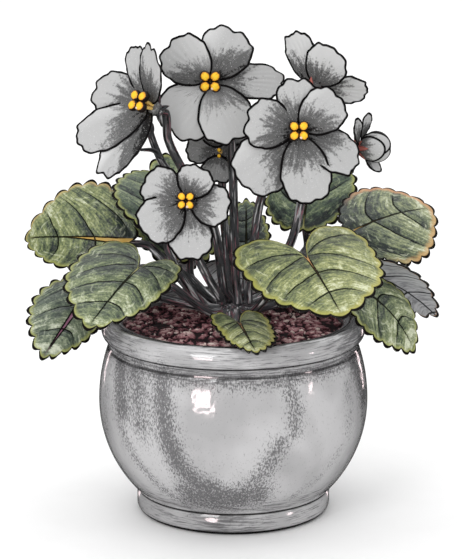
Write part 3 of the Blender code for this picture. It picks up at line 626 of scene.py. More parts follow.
class Finish(Enum):
    """The finishes of the plant's own pieces."""

    GLAZE = DippedStoneware()
    HUMUS = LoosePeat()
    LEAF = QuiltedLeaf("quilted_leaf")
    LEAF_SUNNY = QuiltedLeaf(
        "quilted_leaf_sunny", "#333c2b", "#707a50", "#9ba066", "#dbdfba", ("#a9a748", "#b2ab4c"), "#c9945a",
        margin_mm=3.4, rib_mm=0.6, rib_reach_mm=22.0,
    )
    LEAF_SHADED = QuiltedLeaf("quilted_leaf_shaded", "#1f2928", "#475846", "#6f7d5a", "#aab48f")
    LEAF_FLUSHED = QuiltedLeaf(
        "quilted_leaf_flushed", "#222a2a", "#546052", "#7b866c", "#cdd2bc",
        rib="#8f5a75", rib_mm=1.8, rib_reach_mm=44.0,
    )
    LEAF_TANNED = QuiltedLeaf(
        "quilted_leaf_tanned", green="#687451", light="#959c69", margins=("#cfb070", "#adae58"),
        rib="#cfa64c", band_start_mm=6.0, rib_mm=1.7, rib_reach_mm=34.0,
    )
    LEAF_PEACH = QuiltedLeaf(
        "quilted_leaf_peach", green="#667156", light="#939a70", margins=("#cfa468", "#dd9f70"),
        rib="#c09a48", margin_mm=3.6, band_start_mm=8.0,
    )
    LEAF_BACK = LeafUnderside()
    PETAL = VelvetPetal("petal_face")
    PETAL_SHADED = VelvetPetal("petal_face_shaded", "#8b8b8b", "#707070", "#4e4e4e")
    PETAL_BACK = VelvetPetal("petal_back", "#dedede", "#b2b2b2", "#656565")
    PETAL_BACK_SHADED = VelvetPetal("petal_back_shaded", "#8f8f8f", "#6d6d6d", "#505050")
    PETAL_BUD = VelvetPetal("petal_of_bud", "#b6b6b6", "#8f8f8f", "#606060")
    STEM = FleshyStalk("stalk_skin")
    # Its third colour is the painted highlight of the sepals
    RED_STEM = FleshyStalk("red_sepal_skin", "#5e2a2c", "#b0605a", "#d98f76", "#c8724e")
    EDGE = WaxySkin("cut_edge", "#1a1718", "#1a1718", "#1a1718")
    # Painted shade: the dark foot of each pollen sac, where it sits on the petal
    ANTHER = WaxySkin("pollen_sac", "#ffd21f", "#f09f12", "#1c0b06", (0.82, 0.86, 0.95))
    FILAMENT = WaxySkin("filament", "#f3dd8e", "#e3b65c", "#7a4a2c")
    STIGMA = WaxySkin("stigma", "#f4ddc6", "#e0a999", "#8a4a4c")
    DOWN = WaxySkin("leaf_hair", "#c4c9b4", "#b4baa2", "#969d84")
    PAPER = PaperSweep()

    def material(self) -> bpy.types.Material:
        """Give the finish's material, made once."""
        if self not in MADE:
            MADE[self] = self.value.material()
        return MADE[self]


MADE: dict[Finish, bpy.types.Material] = {}


def enter(name: str, data: bpy.types.ID) -> bpy.types.Object:
    """Bring a mesh, light or camera into the scene.

    Args:
        name: The name of the object.
        data: What it shows.

    Returns:
        The object.
    """
    made = bpy.data.objects.new(name, data)
    bpy.context.scene.collection.objects.link(made)
    return made


def show(
    name: str, bm: bmesh.types.BMesh, replaced: Iterable[str], finishes: Sequence[Finish]
) -> bpy.types.Object:
    """Turn a shape into a smooth piece that stands for CAD nodes.

    Args:
        name: The piece's name.
        bm: The shape, in place. It is freed.
        replaced: The CAD nodes that the piece stands for.
        finishes: One finish for each material index.

    Returns:
        The piece, riding on the root body.
    """
    mesh = bpy.data.meshes.new(name)
    bm.to_mesh(mesh)
    bm.free()
    mesh.shade_smooth()
    for finish in finishes:
        mesh.materials.append(finish.material())
    piece = enter(name, mesh)
    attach(piece, "root")
    for node in replaced:
        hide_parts(node)
    log.info("%s: %d faces", name, len(mesh.polygons))
    return piece


def pour(bm: bmesh.types.BMesh, part: bmesh.types.BMesh) -> None:
    """Add a part to a shape and free it. Parts are made apart, since operators slow down in a big shape.

    Args:
        bm: The shape.
        part: The part.
    """
    mesh = bpy.data.meshes.new("part")
    part.to_mesh(mesh)
    part.free()
    bm.from_mesh(mesh)
    bpy.data.meshes.remove(mesh)


def thicken(piece: bpy.types.Object, thickness: float) -> None:
    """Give an open sheet its thickness, half to each side.

    Its second finish goes to its back, and its third to its rim.

    Args:
        piece: The sheet.
        thickness: In metres.
    """
    solidify = piece.modifiers.new("thickness", "SOLIDIFY")
    solidify.thickness = thickness
    solidify.offset = 0.0
    solidify.material_offset = 1
    solidify.material_offset_rim = 2


def bell(away: float, spread: float) -> float:
    """Give the height of a smooth hump, 1 at its middle and 0.37 at its spread."""
    return math.exp(-((away / spread) ** 2))


def spoke(angle: float) -> Vector:
    """Give the level way out at an angle from +X."""
    return Vector((math.cos(angle), math.sin(angle), 0))


def up(height: float) -> Vector:
    """Give a place that far up its own axis."""
    return Vector((0, 0, height))


def tilt(degrees: float, axis: str, size: int = 4) -> Matrix:
    """Give a turn about an axis."""
    return Matrix.Rotation(math.radians(degrees), size, axis)


def grow(
    bm: bmesh.types.BMesh, outline: list[bmesh.types.BMEdge]
) -> tuple[list[bmesh.types.BMVert], list[bmesh.types.BMEdge]]:
    """Extrude the open outline of a shape.

    Args:
        bm: The shape.
        outline: The outline's edges.

    Returns:
        The new corners and the new outline.
    """
    grown = bmesh.ops.extrude_edge_only(bm, edges=outline)["geom"]
    verts = [item for item in grown if isinstance(item, bmesh.types.BMVert)]
    edges = [item for item in grown if isinstance(item, bmesh.types.BMEdge) and item.is_boundary]
    return verts, edges


def mark(bm: bmesh.types.BMesh, name: str, value: float | Point) -> None:
    """Give a whole shape the same value of an attribute.

    Args:
        bm: The shape.
        name: The attribute, which is new to it.
        value: Its value.
    """
    layers = bm.verts.layers.float if isinstance(value, float) else bm.verts.layers.float_vector
    layer = layers.new(name)
    for vert in bm.verts:
        vert[layer] = value


def turned(section: Sequence[tuple[float, float]], steps: int, ring: bool = False) -> bmesh.types.BMesh:
    """Turn a section round the upright axis.

    Args:
        section: Its corners, each a radius and a height.
        steps: Steps of the full turn.
        ring: Whether the last corner is joined to the first.

    Returns:
        The turned shape, its faces outwards.
    """
    bm = bmesh.new()
    verts = [bm.verts.new((radius, 0.0, height)) for radius, height in section]
    ends = [*verts[1:], verts[0]] if ring else verts[1:]
    edges = [bm.edges.new(pair) for pair in zip(verts, ends)]
    bmesh.ops.spin(
        bm, geom=verts + edges, axis=(0, 0, 1), cent=(0, 0, 0), steps=steps, angle=math.tau, use_merge=True
    )
    bmesh.ops.remove_doubles(bm, verts=bm.verts, dist=0.01 * MM)
    bmesh.ops.recalc_face_normals(bm, faces=bm.faces)
    return bm


def disc(rings: Sequence[float], corners: int) -> bmesh.types.BMesh:
    """Make a flat unit disc, its faces up and one corner on +X.

    Args:
        rings: The rings' radii, from the inside to 1.
        corners: Corners of each ring.

    Returns:
        The disc.
    """
    bm = bmesh.new()
    turn = Matrix.Rotation(-math.pi / 2, 4, "Z")
    bmesh.ops.create_circle(bm, cap_ends=True, cap_tris=True, segments=corners, radius=rings[0], matrix=turn)
    outline = [edge for edge in bm.edges if edge.is_boundary]
    for inner, outer in zip(rings, rings[1:]):
        verts, outline = grow(bm, outline)
        bmesh.ops.scale(bm, vec=(outer / inner, outer / inner, 1), verts=verts)
    bmesh.ops.recalc_face_normals(bm, faces=bm.faces)
    bm.normal_update()
    if next(iter(bm.faces)).normal.z < 0:
        bmesh.ops.reverse_faces(bm, faces=bm.faces)
    return bm


def smooth_route(points: Sequence[Point | Vector], steps: int) -> list[Vector]:
    """Draw a smooth curve through points.

    Args:
        points: The points.
        steps: Steps between two of them.

    Returns:
        Points along the curve.
    """
    places = [Vector(point) for point in points]
    before = [places[0], *places[:-1]]
    after = [*places[1:], places[-1]]
    ways = [(later - earlier).normalized() for earlier, later in zip(before, after)]
    route = [places[0]]
    for (start, end), (leave, arrive) in zip(zip(places, places[1:]), zip(ways, ways[1:])):
        reach = (end - start).length / 3
        first, second = start + leave * reach, end - arrive * reach
        for step in range(1, steps + 1):
            t = step / steps
            left, middle, right = start.lerp(first, t), first.lerp(second, t), second.lerp(end, t)
            route.append(left.lerp(middle, t).lerp(middle.lerp(right, t), t))
    return route


def add_tube(
    bm: bmesh.types.BMesh, route: Sequence[Vector], radii: Callable[[float], float], sides: int
) -> None:
    """Add a closed round tube, with its round and lengthwise coordinates in the layer flat.

    Args:
        bm: The shape that it is added to.
        route: Points along its middle.
        radii: Its radius at a share of its length, from 0 to 1.
        sides: Sides of its section.
    """
    layer = bm.verts.layers.float_vector.get("flat") or bm.verts.layers.float_vector.new("flat")
    seed = 37 * route[0].x / MM
    ways = [(after - before).normalized() for before, after in zip(route, route[1:])]
    ways.append(ways[-1])
    turn = ways[0].to_track_quat("Z", "Y").to_matrix()
    done = 0.0
    old = None
    for index, (point, way) in enumerate(zip(route, ways)):
        lean = (turn @ up(1)).rotation_difference(way).to_matrix()
        turn = lean @ turn
        radius = radii(index / (len(route) - 1))
        stance = Matrix.Translation(point) @ turn.to_4x4() @ Matrix.Diagonal((radius, radius, radius, 1))
        if old is None:
            made = bmesh.ops.create_circle(bm, cap_ends=True, segments=sides, radius=1.0, matrix=stance)
            verts = made["verts"]
            outline = list({edge for vert in verts for edge in vert.link_edges})
        else:
            verts, outline = grow(bm, outline)
            bmesh.ops.transform(bm, matrix=stance @ old.inverted(), verts=verts)
            done += (point - route[index - 1]).length / MM
        back = stance.inverted()
        for vert in verts:
            local = back @ vert.co
            vert[layer] = (local.x * radius / MM + seed, local.y * radius / MM, done)
        old = stance
    bmesh.ops.holes_fill(bm, edges=outline, sides=sides)


def tapering(start: float, end: float) -> Callable[[float], float]:
    """Give a radius that goes evenly from start to end along a tube."""
    return lambda share: start + (end - start) * share


@dataclass
class Pot:
    """The turned pot, with its rolled rim, belly, groove and foot."""

    steps: int = 160
    wall: float = 0.004
    floor: tuple[float, float] = (0.0321, 0.006)
    inside_heights: tuple[float, float] = (0.014, 0.0705)
    foot_radius: float = 0.0405
    foot_height: float = 0.0078
    foot_round: float = 0.003
    foot_step: tuple[tuple[float, float], ...] = ((0.0398, 0.0089), (0.0400, 0.0084))
    groove_radius: float = 0.0401
    groove_height: float = 0.0092
    belly_radius: float = 0.0562
    belly_height: float = 0.0475
    neck_radius: float = 0.0520
    neck_height: float = 0.0715
    neck_step: tuple[tuple[float, float], ...] = ((0.05255, 0.07365), (0.05215, 0.0731), (0.0523, 0.0725))
    rim_radius: float = 0.0500
    rim_height: float = 0.0780
    rim_roll: float = 0.0050
    rim_inside_height: float = 0.0765
    rim_arc: tuple[float, float] = (170.0, 218.0)
    rim_band_mm: float = 4.4
    line_height_mm: float = 82.65
    line_width_mm: float = 0.12

    # Painted shade and reflection sweep marks: (degrees from the front, height mm) points, half width mm,
    # strength
    painted_shade_sweeps: tuple[tuple[tuple[tuple[float, float], ...], float, float], ...] = (
        (((-60, 68), (-57, 62), (-54, 52)), 7.0, 0.70),
        (((-48, 68), (-44, 60), (-41, 48)), 9.5, 0.50),
        (((-33, 69), (-31, 56), (-28, 44), (-24, 33), (-16, 25), (-4, 21)), 6.4, 0.66),
        (((-22, 20), (-4, 18), (12, 21)), 8.5, 0.63),
        (((6, 22), (13, 31), (20, 43)), 5.5, 0.52),
        (((24, 68), (27, 58), (26, 48)), 5.0, 0.50),
        (((-56, 46), (-47, 31), (-38, 21), (-26, 14)), 4.0, 0.42),
        (((-64, 70), (-30, 68.5), (0, 68), (30, 68.5), (60, 70)), 4.0, 0.42),
        (((30, 16), (44, 24), (54, 36)), 2.5, 0.30),
        (((-70, 62), (-70, 40)), 4.0, 0.30),
    )
    back_turn: float = 128.0

    def belly(self, height: float) -> float:
        """Work out the outer radius between the groove and the neck.

        Args:
            height: Height in metres.

        Returns:
            The radius, from two half ellipses.
        """
        end_radius, end_height = self.neck_radius, self.neck_height
        if height < self.belly_height:
            end_radius, end_height = self.groove_radius, self.groove_height
        reach = (end_height - self.belly_height) / math.sqrt(1 - (end_radius / self.belly_radius) ** 2)
        return self.belly_radius * math.sqrt(1 - ((height - self.belly_height) / reach) ** 2)

    def profile(self) -> list[tuple[float, float]]:
        """Draw the pot's section from the inner floor, over the rim and down to the foot.

        Returns:
            Its corners, each a radius and a height.
        """
        low, high = self.inside_heights
        inside = [low + (high - low) * step / 12 for step in range(13)]
        tall = self.neck_height - self.groove_height
        outside = [self.neck_height - tall * step / 44 for step in range(45)]
        first, sweep = self.rim_arc
        rim = [math.radians(first - sweep * step / 28) for step in range(29)]
        heel = [math.radians(-90 * step / 8) for step in range(9)]
        foot, curve, roll = self.foot_radius, self.foot_round, self.rim_roll
        return [
            (0.0, self.floor[1]),
            self.floor,
            *((self.belly(height) - self.wall, height) for height in inside),
            (self.rim_radius - roll, self.rim_inside_height),
            *(
                (self.rim_radius + roll * math.cos(turn), self.rim_height + roll * math.sin(turn))
                for turn in rim
            ),
            *self.neck_step,
            *((self.belly(height), height) for height in outside),
            *self.foot_step,
            (foot, self.foot_height),
            *((foot - curve * (1 - math.cos(turn)), curve * (1 + math.sin(turn))) for turn in heel),
            (0.0, 0.0),
        ]

    def painted_shade_at(self, degrees: float, height_mm: float) -> float:
        """Work out how dark the painted shade and reflection sweep marks make the glaze at a place.

        Args:
            degrees: Angle from the front, towards +X.
            height_mm: Height in millimetres.

        Returns:
            The darkness, from 0 to about 1.
        """
        total = 0.0
        for turn in (0.0, self.back_turn, -self.back_turn):
            around = math.remainder(degrees - turn, 360.0)
            if abs(around) > 75:
                continue
            place = Vector((around, height_mm))
            for points, width, strength in self.painted_shade_sweeps:
                near = min(self.gap_to(place, *pair) for pair in zip(points, points[1:]))
                total = max(total, strength * bell(near, width))
        return total

    def strokes_and_shade_at(self, degrees: float, height_mm: float) -> float:
        """Work out how strongly the level strokes of the rim and foot and the painted shade bands show at a
        place.

        Args:
            degrees: Angle from the front, towards +X.
            height_mm: Height in millimetres.

        Returns:
            The strength, from 0 to 1.
        """
        turn = math.radians(degrees)
        if height_mm > self.rim_height / MM - self.rim_band_mm:
            return 0.50 - 0.12 * math.cos(2 * turn + 0.3) + 0.08 * math.cos(5 * turn)
        if height_mm < self.groove_height / MM:
            return 0.46 + 0.12 * math.cos(3 * turn + 0.4) + 0.08 * math.cos(7 * turn)
        # Painted shade: a dark band in the neck under the rim, and a softer one low on the belly above the
        # foot
        return 0.48 * bell(height_mm - 12, 9.0) + 0.66 * bell(height_mm - 71, 4.2)

    @staticmethod
    def gap_to(place: Vector, start: tuple[float, float], end: tuple[float, float]) -> float:
        """Measure the way from a place to a straight run, with a degree taken as a millimetre.

        Args:
            place: The place, in degrees and millimetres.
            start: Where the run starts.
            end: Where it ends.

        Returns:
            The shortest way between them.
        """
        first, second = Vector(start), Vector(end)
        along = second - first
        share = max(0.0, min(1.0, (place - first).dot(along) / along.length_squared))
        return (place - first - along * share).length

    def build(self) -> None:
        """Turn the profile; mark the painted shade sweep marks and bands, the strokes and the mouth's ink
        line.
        """
        bm = turned(self.profile(), self.steps)
        layer = bm.verts.layers.float_vector.new("glaze")
        for vert in bm.verts:
            if vert.co.xy.length > self.foot_radius - 2 * MM and vert.co.z > MM:
                degrees = math.degrees(math.atan2(vert.co.x, -vert.co.y))
                height = vert.co.z / MM
                mouth = max(0.0, min(1.0, (height - self.line_height_mm) / self.line_width_mm))
                # The glaze attribute holds the painted shade sweep marks, the strokes with painted shade
                # bands, and the mouth's ink line
                vert[layer] = (self.painted_shade_at(degrees, height), self.strokes_and_shade_at(degrees, height), mouth)
        show("pot_glazed", bm, ["pot"], [Finish.GLAZE])


@dataclass
class SoilBed:
    """The potting mix, with loose crumbs on it and a plain hole for the crown."""

    edge_radius: float = 0.0447
    edge_height: float = 0.0792
    centre_height: float = 0.0820
    bottom: float = 0.0740
    hole: float = 0.0093
    rings: int = 72
    steps: int = 260
    clod_mm: float = 5.0
    clod_height_mm: float = 1.3
    crevice_mm: float = 0.7
    wave_mm: float = 0.8
    grain_mm: float = 0.4
    crumbs: int = 800
    crumb_mm: tuple[float, float] = (0.40, 1.25)

    def height(self, radius: float) -> float:
        """Give the smooth height of the bed at a radius."""
        return self.centre_height - (self.centre_height - self.edge_height) * (radius / self.edge_radius) ** 2

    def lumps(self, x: float, y: float) -> tuple[float, float]:
        """Work out the height of the clods and grains at a place.

        Args:
            x: The place, in metres.
            y: The same.

        Returns:
            The height, in metres, and how deep in a crevice the place is, from 0 to 1.
        """
        spot = Vector((x, y, 0.0)) / (self.clod_mm * MM)
        spot += Vector((noise.noise(spot * 0.9), noise.noise(spot * 0.9 + Vector((7, 3, 1))), 0.0)) * 0.5
        near, far = noise.voronoi(spot)[0][:2]
        crevice = bell(far - near, 0.16)
        clod = (self.clod_height_mm * (0.45 - near) - self.crevice_mm * crevice) * MM
        wave = noise.noise(Vector((x, y, 0.0)) * 120) * self.wave_mm * MM
        grain = noise.noise(Vector((x, y, 0.01)) * 900) * self.grain_mm * MM
        return wave + clod + grain, crevice

    def build(self) -> None:
        """Make the bed and scatter its crumbs."""
        span = self.edge_radius - self.hole
        radii = [self.hole + span * ring / self.rings for ring in range(self.rings + 1)]
        section = [(radius, self.height(radius)) for radius in radii]
        section += [(self.edge_radius, self.bottom), (self.hole, self.bottom)]
        bm = turned(section, self.steps, ring=True)
        layer = bm.verts.layers.float.new("tone")
        for vert in bm.verts:
            if vert.co.z > self.bottom + MM:
                lump, crevice = self.lumps(vert.co.x, vert.co.y)
                vert.co.z += lump
                # Painted light and shade: higher clods lighter, crevices darker
                vert[layer] = 0.62 + lump / (3 * MM) - 0.50 * crevice
        show("soil_bed", bm, ["soil"], [Finish.HUMUS])
        draw = random.Random(11)
        bm = bmesh.new()
        layer = bm.verts.layers.float.new("tone")
        for _ in range(self.crumbs):
            radius = math.sqrt(draw.uniform((self.hole / self.edge_radius) ** 2, 0.985)) * self.edge_radius
            angle = draw.uniform(0, math.tau)
            x, y = radius * math.cos(angle), radius * math.sin(angle)
            size = draw.uniform(*self.crumb_mm) * MM * draw.uniform(0.6, 1.0)
            spot = Matrix.Translation((x, y, self.height(radius) + self.lumps(x, y)[0] + size * 0.2))
            turn = Matrix.Rotation(draw.uniform(0, math.tau), 4, (draw.random(), draw.random(), 1))
            sides = [draw.uniform(*span) for span in ((0.9, 2.2), (0.7, 1.1), (0.4, 0.8))]
            shape = Matrix.Diagonal((*sides, 1))
            made = bmesh.ops.create_icosphere(bm, subdivisions=1, radius=size, matrix=spot @ turn @ shape)
            tone = draw.choice((0.15, 0.3, 0.4, 0.5, 0.6, 0.95)) + draw.uniform(-0.05, 0.1)
            for vert in made["verts"]:
                vert[layer] = tone
        show("soil_crumbs", bm, [], [Finish.HUMUS])


@dataclass(frozen=True)
class Leaf:
    """A quilted, scalloped leaf: where its stalk meets it, how it is turned, its shape and finish."""

    name: str
    base: Point
    heading: float
    pitch: float
    roll: float
    length: float
    width: float
    bend: float
    notch: float
    lean: float = 0.0
    lobes: float = 0.0
    finish: Finish = Finish.LEAF
    # Overall lightness of the face; a low value paints shade on a leaf that stands behind the stalks
    tone: float = 0.50
    # Painted light and shade: lighter towards the tip, and towards the +Y side
    painted_light: tuple[float, float] = (0.10, 0.0)

    scallops: int = 21
    scallop_depth: float = 0.0021
    tip_length: float = 0.09
    tip_spread: float = 0.38
    notch_spread: float = 0.34
    shoulder_angle: float = 0.75
    shoulder_spread: float = 0.45
    cup: float = 0.35
    thickness: float = 0.0007
    usual_width: float = 0.045
    puff_mm: float = 0.6
    puff_spread_mm: float = 2.1
    pucker_mm: float = 0.28
    pucker_size_mm: float = 2.6
    vein_pitch: float = 0.31
    vein_sweep: float = 0.40
    vein_stagger: float = 0.13
    vein_fan: float = 42.0

    @property
    def seed(self) -> float:
        """A number of the leaf's own, from its place."""
        return round(self.base[0] * 1000) + 3.0 * round(self.base[1] * 1000)

    @property
    def stance(self) -> Matrix:
        """Place and turn of the blade: +X towards its tip, +Z out of its upper face."""
        turn = tilt(self.heading, "Z") @ tilt(-self.pitch, "Y") @ tilt(self.roll, "X")
        return Matrix.Translation(self.base) @ turn

    @property
    def shoulder(self) -> float:
        """How far the lobes beside the notch stand out, as a share of the width."""
        return 0.25 * (self.notch - 0.12) + self.lobes

    @property
    def centre(self) -> float:
        """The disc's centre ahead of the leaf's base, as a share of the unit length."""
        return 0.5 + self.shoulder * bell(self.shoulder_angle, self.shoulder_spread) - self.notch

    def outline(self, angle: float) -> float:
        """Give the smooth outline's radius.

        Args:
            angle: Angle round the disc's centre, 0 at the tip.

        Returns:
            The radius, as a share of the unit length.
        """
        around = abs(math.remainder(angle, math.tau))
        back = math.pi - around
        radius = 0.5 + self.tip_length * bell(around, self.tip_spread)
        radius += self.shoulder * bell(back - self.shoulder_angle, self.shoulder_spread)
        return radius - self.notch * bell(back, self.notch_spread)

    def flat(self, angle: float, reach: float) -> tuple[float, float]:
        """Place a point of the unit disc on the flat leaf.

        Args:
            angle: Angle round the disc, 0 at the tip.
            reach: Share of the way from the centre to the outline.

        Returns:
            The place along the midrib and across it, in metres.
        """
        tooth = self.scallop_depth / self.width * (1 - abs(math.cos(self.scallops * angle / 2)) ** 0.8)
        radius = self.outline(angle) - tooth * reach**10
        scale = self.length / (self.centre + 0.5 + self.tip_length)
        x = (self.centre + reach * radius * math.cos(angle)) * scale
        y = reach * radius * math.sin(angle) * self.width
        return x, y * (1 + self.lean * math.copysign(1, y))

    def vein_order(self, x: float, y: float) -> tuple[float, float]:
        """Number the side veins: each lies where the first value is whole.

        Args:
            x: Place along the midrib, in metres.
            y: Place across it, in metres.

        Returns:
            The order and the millimetres between two orders there.
        """
        aside = abs(y) / (self.width / 2)
        ahead = x - self.length * (0.03 * aside + self.vein_sweep * aside**2)
        pitch = self.length * self.vein_pitch
        stagger = self.vein_stagger * math.copysign(1, y) * min(1.0, aside * 4)
        if ahead >= 0:
            return ahead / pitch + stagger, pitch / MM * 0.85
        behind = math.atan2(-ahead, abs(y) + 0.05 * MM)
        spread = math.radians(self.vein_fan)
        return stagger - behind / spread, spread * math.hypot(ahead, y) / MM

    def relief(self, x: float, y: float, reach: float) -> float:
        """Work out the height of the quilting, which is puffed between the veins.

        Args:
            x: Place along the midrib, in metres.
            y: Place across it, in metres.
            reach: Share of the way from the disc's centre to the outline.

        Returns:
            The height above the flat leaf, in metres.
        """
        order, pitch = self.vein_order(x, y)
        near = min(abs(order - round(order)) * pitch, abs(y) / MM)
        size = self.width / self.usual_width
        puff = self.puff_mm * size * (1 - bell(near, self.puff_spread_mm * size))
        pucker = self.pucker_mm * noise.noise(Vector((x / MM, y / MM, self.seed)) / self.pucker_size_mm)
        calm = 1 - reach**8
        return ((puff - 0.55 * self.puff_mm * size) * calm + pucker * (0.3 + 0.7 * calm)) * MM

    def curved(self, x: float, y: float, height: float) -> Vector:
        """Bend the flat leaf along its length and cup it across.

        Args:
            x: Place along the midrib, in metres.
            y: Place across it, in metres.
            height: Height above the flat leaf, in metres.

        Returns:
            The place in the leaf's own stance.
        """
        sag = height - self.cup * self.width * (abs(y) / (self.width / 2)) ** 2 / 4
        curl = math.radians(self.bend) / self.length
        turn = curl * x
        along = math.sin(turn) / curl + sag * math.sin(turn)
        return Vector((along, y, (math.cos(turn) - 1) / curl + sag * math.cos(turn)))

    def build(self) -> None:
        """Make the blade with its face, underside and dark cut edge."""
        rings = [0.035 + 0.915 * ring / 24 for ring in range(25)]
        rings += [0.963, 0.974, 0.984, 0.992, 1.0]
        bm = disc(rings, self.scallops * 10)
        flat, ribs, around = (bm.verts.layers.float_vector.new(name) for name in ("flat", "ribs", "around"))
        tone = bm.verts.layers.float.new("tone")
        stance = self.stance
        middle = Vector(self.flat(0.0, 0.0))
        for vert in bm.verts:
            angle, reach = math.atan2(vert.co.y, vert.co.x), min(1.0, vert.co.xy.length)
            x, y = self.flat(angle, reach)
            rim = Vector(self.flat(angle, 1.0))
            order, pitch = self.vein_order(x, y)
            inward = (1 - reach) * (rim - middle).length / MM
            vert[flat] = (x / MM, y / MM, self.seed)
            vert[ribs] = (order, pitch, inward)
            vert[around] = (inward, angle * self.width / 2 / MM, self.seed)
            # Painted light and shade across the leaf, and darker round the base
            painted_light = self.painted_light[0] * (2 * x / self.length - 1) + self.painted_light[1] * 2 * y / self.width
            painted_light -= 0.12 * bell(math.hypot(x, y), 0.24 * self.length)
            vert[tone] = self.tone + painted_light
            vert.co = stance @ self.curved(x, y, self.relief(x, y, reach))
        finishes = (self.finish, Finish.LEAF_BACK, Finish.EDGE)
        piece = show("leaf_" + self.name, bm, ["blade_" + self.name], finishes)
        thicken(piece, self.thickness)


LEAVES = (
    Leaf(
        "upper_left", (-0.0406, 0.0120, 0.1110), 180, 8, -67, 0.0571, 0.0405, 60, 0.08, -0.30,
        finish=Finish.LEAF_TANNED, tone=0.47, painted_light=(0.12, -0.06),
    ),
    Leaf(
        "front_left", (-0.0377, -0.0212, 0.1093), 243, -13, -19, 0.0442, 0.0419, 24, 0.31, -0.23, 0.045,
        painted_light=(0.06, 0.08),
    ),
    Leaf(
        "low_left", (-0.0572, -0.0060, 0.0974), 245, -21, -29, 0.0465, 0.0306, 18, 0.10, -0.21,
        finish=Finish.LEAF_FLUSHED, painted_light=(0.20, 0.0),
    ),
    Leaf(
        "front_right", (0.0290, -0.0353, 0.1170), 292, -19, 8, 0.0403, 0.0563, 13, 0.39, 0.07, 0.085,
        finish=Finish.LEAF_SUNNY, tone=0.54, painted_light=(0.06, 0.08),
    ),
    Leaf(
        "front_small", (0.0024, -0.0312, 0.0878), 282, -5, 3, 0.0339, 0.0232, 4, 0.36, 0.16, 0.115,
        finish=Finish.LEAF_SUNNY, tone=0.55,
    ),
    Leaf(
        "upper_right", (0.0470, 0.0162, 0.1136), 18, 25, 32, 0.0443, 0.0485, 37, 0.02, -0.08, 0.021,
        finish=Finish.LEAF_PEACH, tone=0.46, painted_light=(0.18, -0.04),
    ),
    Leaf(
        "low_right", (0.0491, -0.0050, 0.0976), -23, -20, 19, 0.0405, 0.0352, 59, 0.08, 0.03,
        tone=0.55, painted_light=(0.20, 0.0),
    ),
    Leaf("turned_right", (0.0497, 0.0085, 0.1011), 22, -15, -41, 0.0438, 0.0340, 44, 0.18),
    Leaf(
        "standing_left", (-0.0254, 0.0031, 0.1170), 98, 48, 20, 0.0460, 0.0455, 49, 0.10,
        finish=Finish.LEAF_SHADED,
    ),
    Leaf(
        "standing_rear", (-0.0173, 0.0206, 0.1006), 111, 60, -2, 0.0533, 0.0380, 20, 0.06, 0.16, 0.031,
        finish=Finish.LEAF_SHADED,
    ),
    Leaf(
        "standing_middle", (0.0055, 0.0215, 0.1000), 90, 57, 0, 0.0330, 0.0215, 25, 0.14,
        # Its low tone is painted shade, as it stands behind the stalks
        finish=Finish.LEAF_SHADED, tone=0.28,
    ),
    Leaf(
        "standing_right", (0.0296, 0.0359, 0.1094), 79, 67, -15, 0.0462, 0.0436, 50, 0.02, 0.05, 0.022,
        finish=Finish.LEAF_SHADED, tone=0.48,
    ),
    Leaf("rear_left", (-0.0260, 0.0300, 0.0980), 132, -18, 0, 0.0440, 0.0400, 40, 0.20),
    Leaf("rear", (0.0010, 0.0380, 0.0980), 89, -18, 0, 0.0420, 0.0305, 40, 0.20),
    Leaf("rear_right", (0.0290, 0.0265, 0.0925), 52, -12, 0, 0.0430, 0.0360, 40, 0.20),
)


@dataclass
class Crown:
    """The short stem in the soil and the leaf stalks that grow from it."""

    leaves: Sequence[Leaf]
    radius: float = 0.0090
    bottom: float = 0.0745
    top: float = CROWN_TOP
    stalk_start: float = 0.0852
    stalk_radii: tuple[float, float] = (0.0020, 0.0015)

    def leaf_stalk(self, leaf: Leaf) -> list[Vector]:
        """Route a leaf stalk from inside the crown to just under the blade's base.

        Args:
            leaf: The leaf that it carries.

        Returns:
            Points along its middle.
        """
        out = spoke(math.atan2(leaf.base[1], leaf.base[0]))
        start = out * 0.003 + up(self.stalk_start)
        leave = out * 0.012 + up(self.stalk_start + 0.0012)
        under = 0.0004 + GAP + self.stalk_radii[1]
        near = leaf.stance @ Vector((-0.006, 0, -under - 0.0022))
        end = leaf.stance @ Vector((0.0025, 0, -under - GAP))
        return smooth_route([start, leave, near, end], 9)

    def build(self) -> None:
        """Make the crown and its stalks in one piece."""
        bm = bmesh.new()
        shares = [1.0, 1.0, 0.93, 0.78, 0.60, 0.40]
        drops = (self.top - self.bottom, 0.007, 0.0045, 0.002, 0.0006, 0.0)
        route = [up(self.top - drop) for drop in drops]
        add_tube(bm, route, lambda share: self.radius * shares[round(share * (len(shares) - 1))], 48)
        for leaf in self.leaves:
            add_tube(bm, self.leaf_stalk(leaf), tapering(*self.stalk_radii), 16)
        show("crown_and_leaf_stalks", bm, ["crown"], [Finish.STEM])


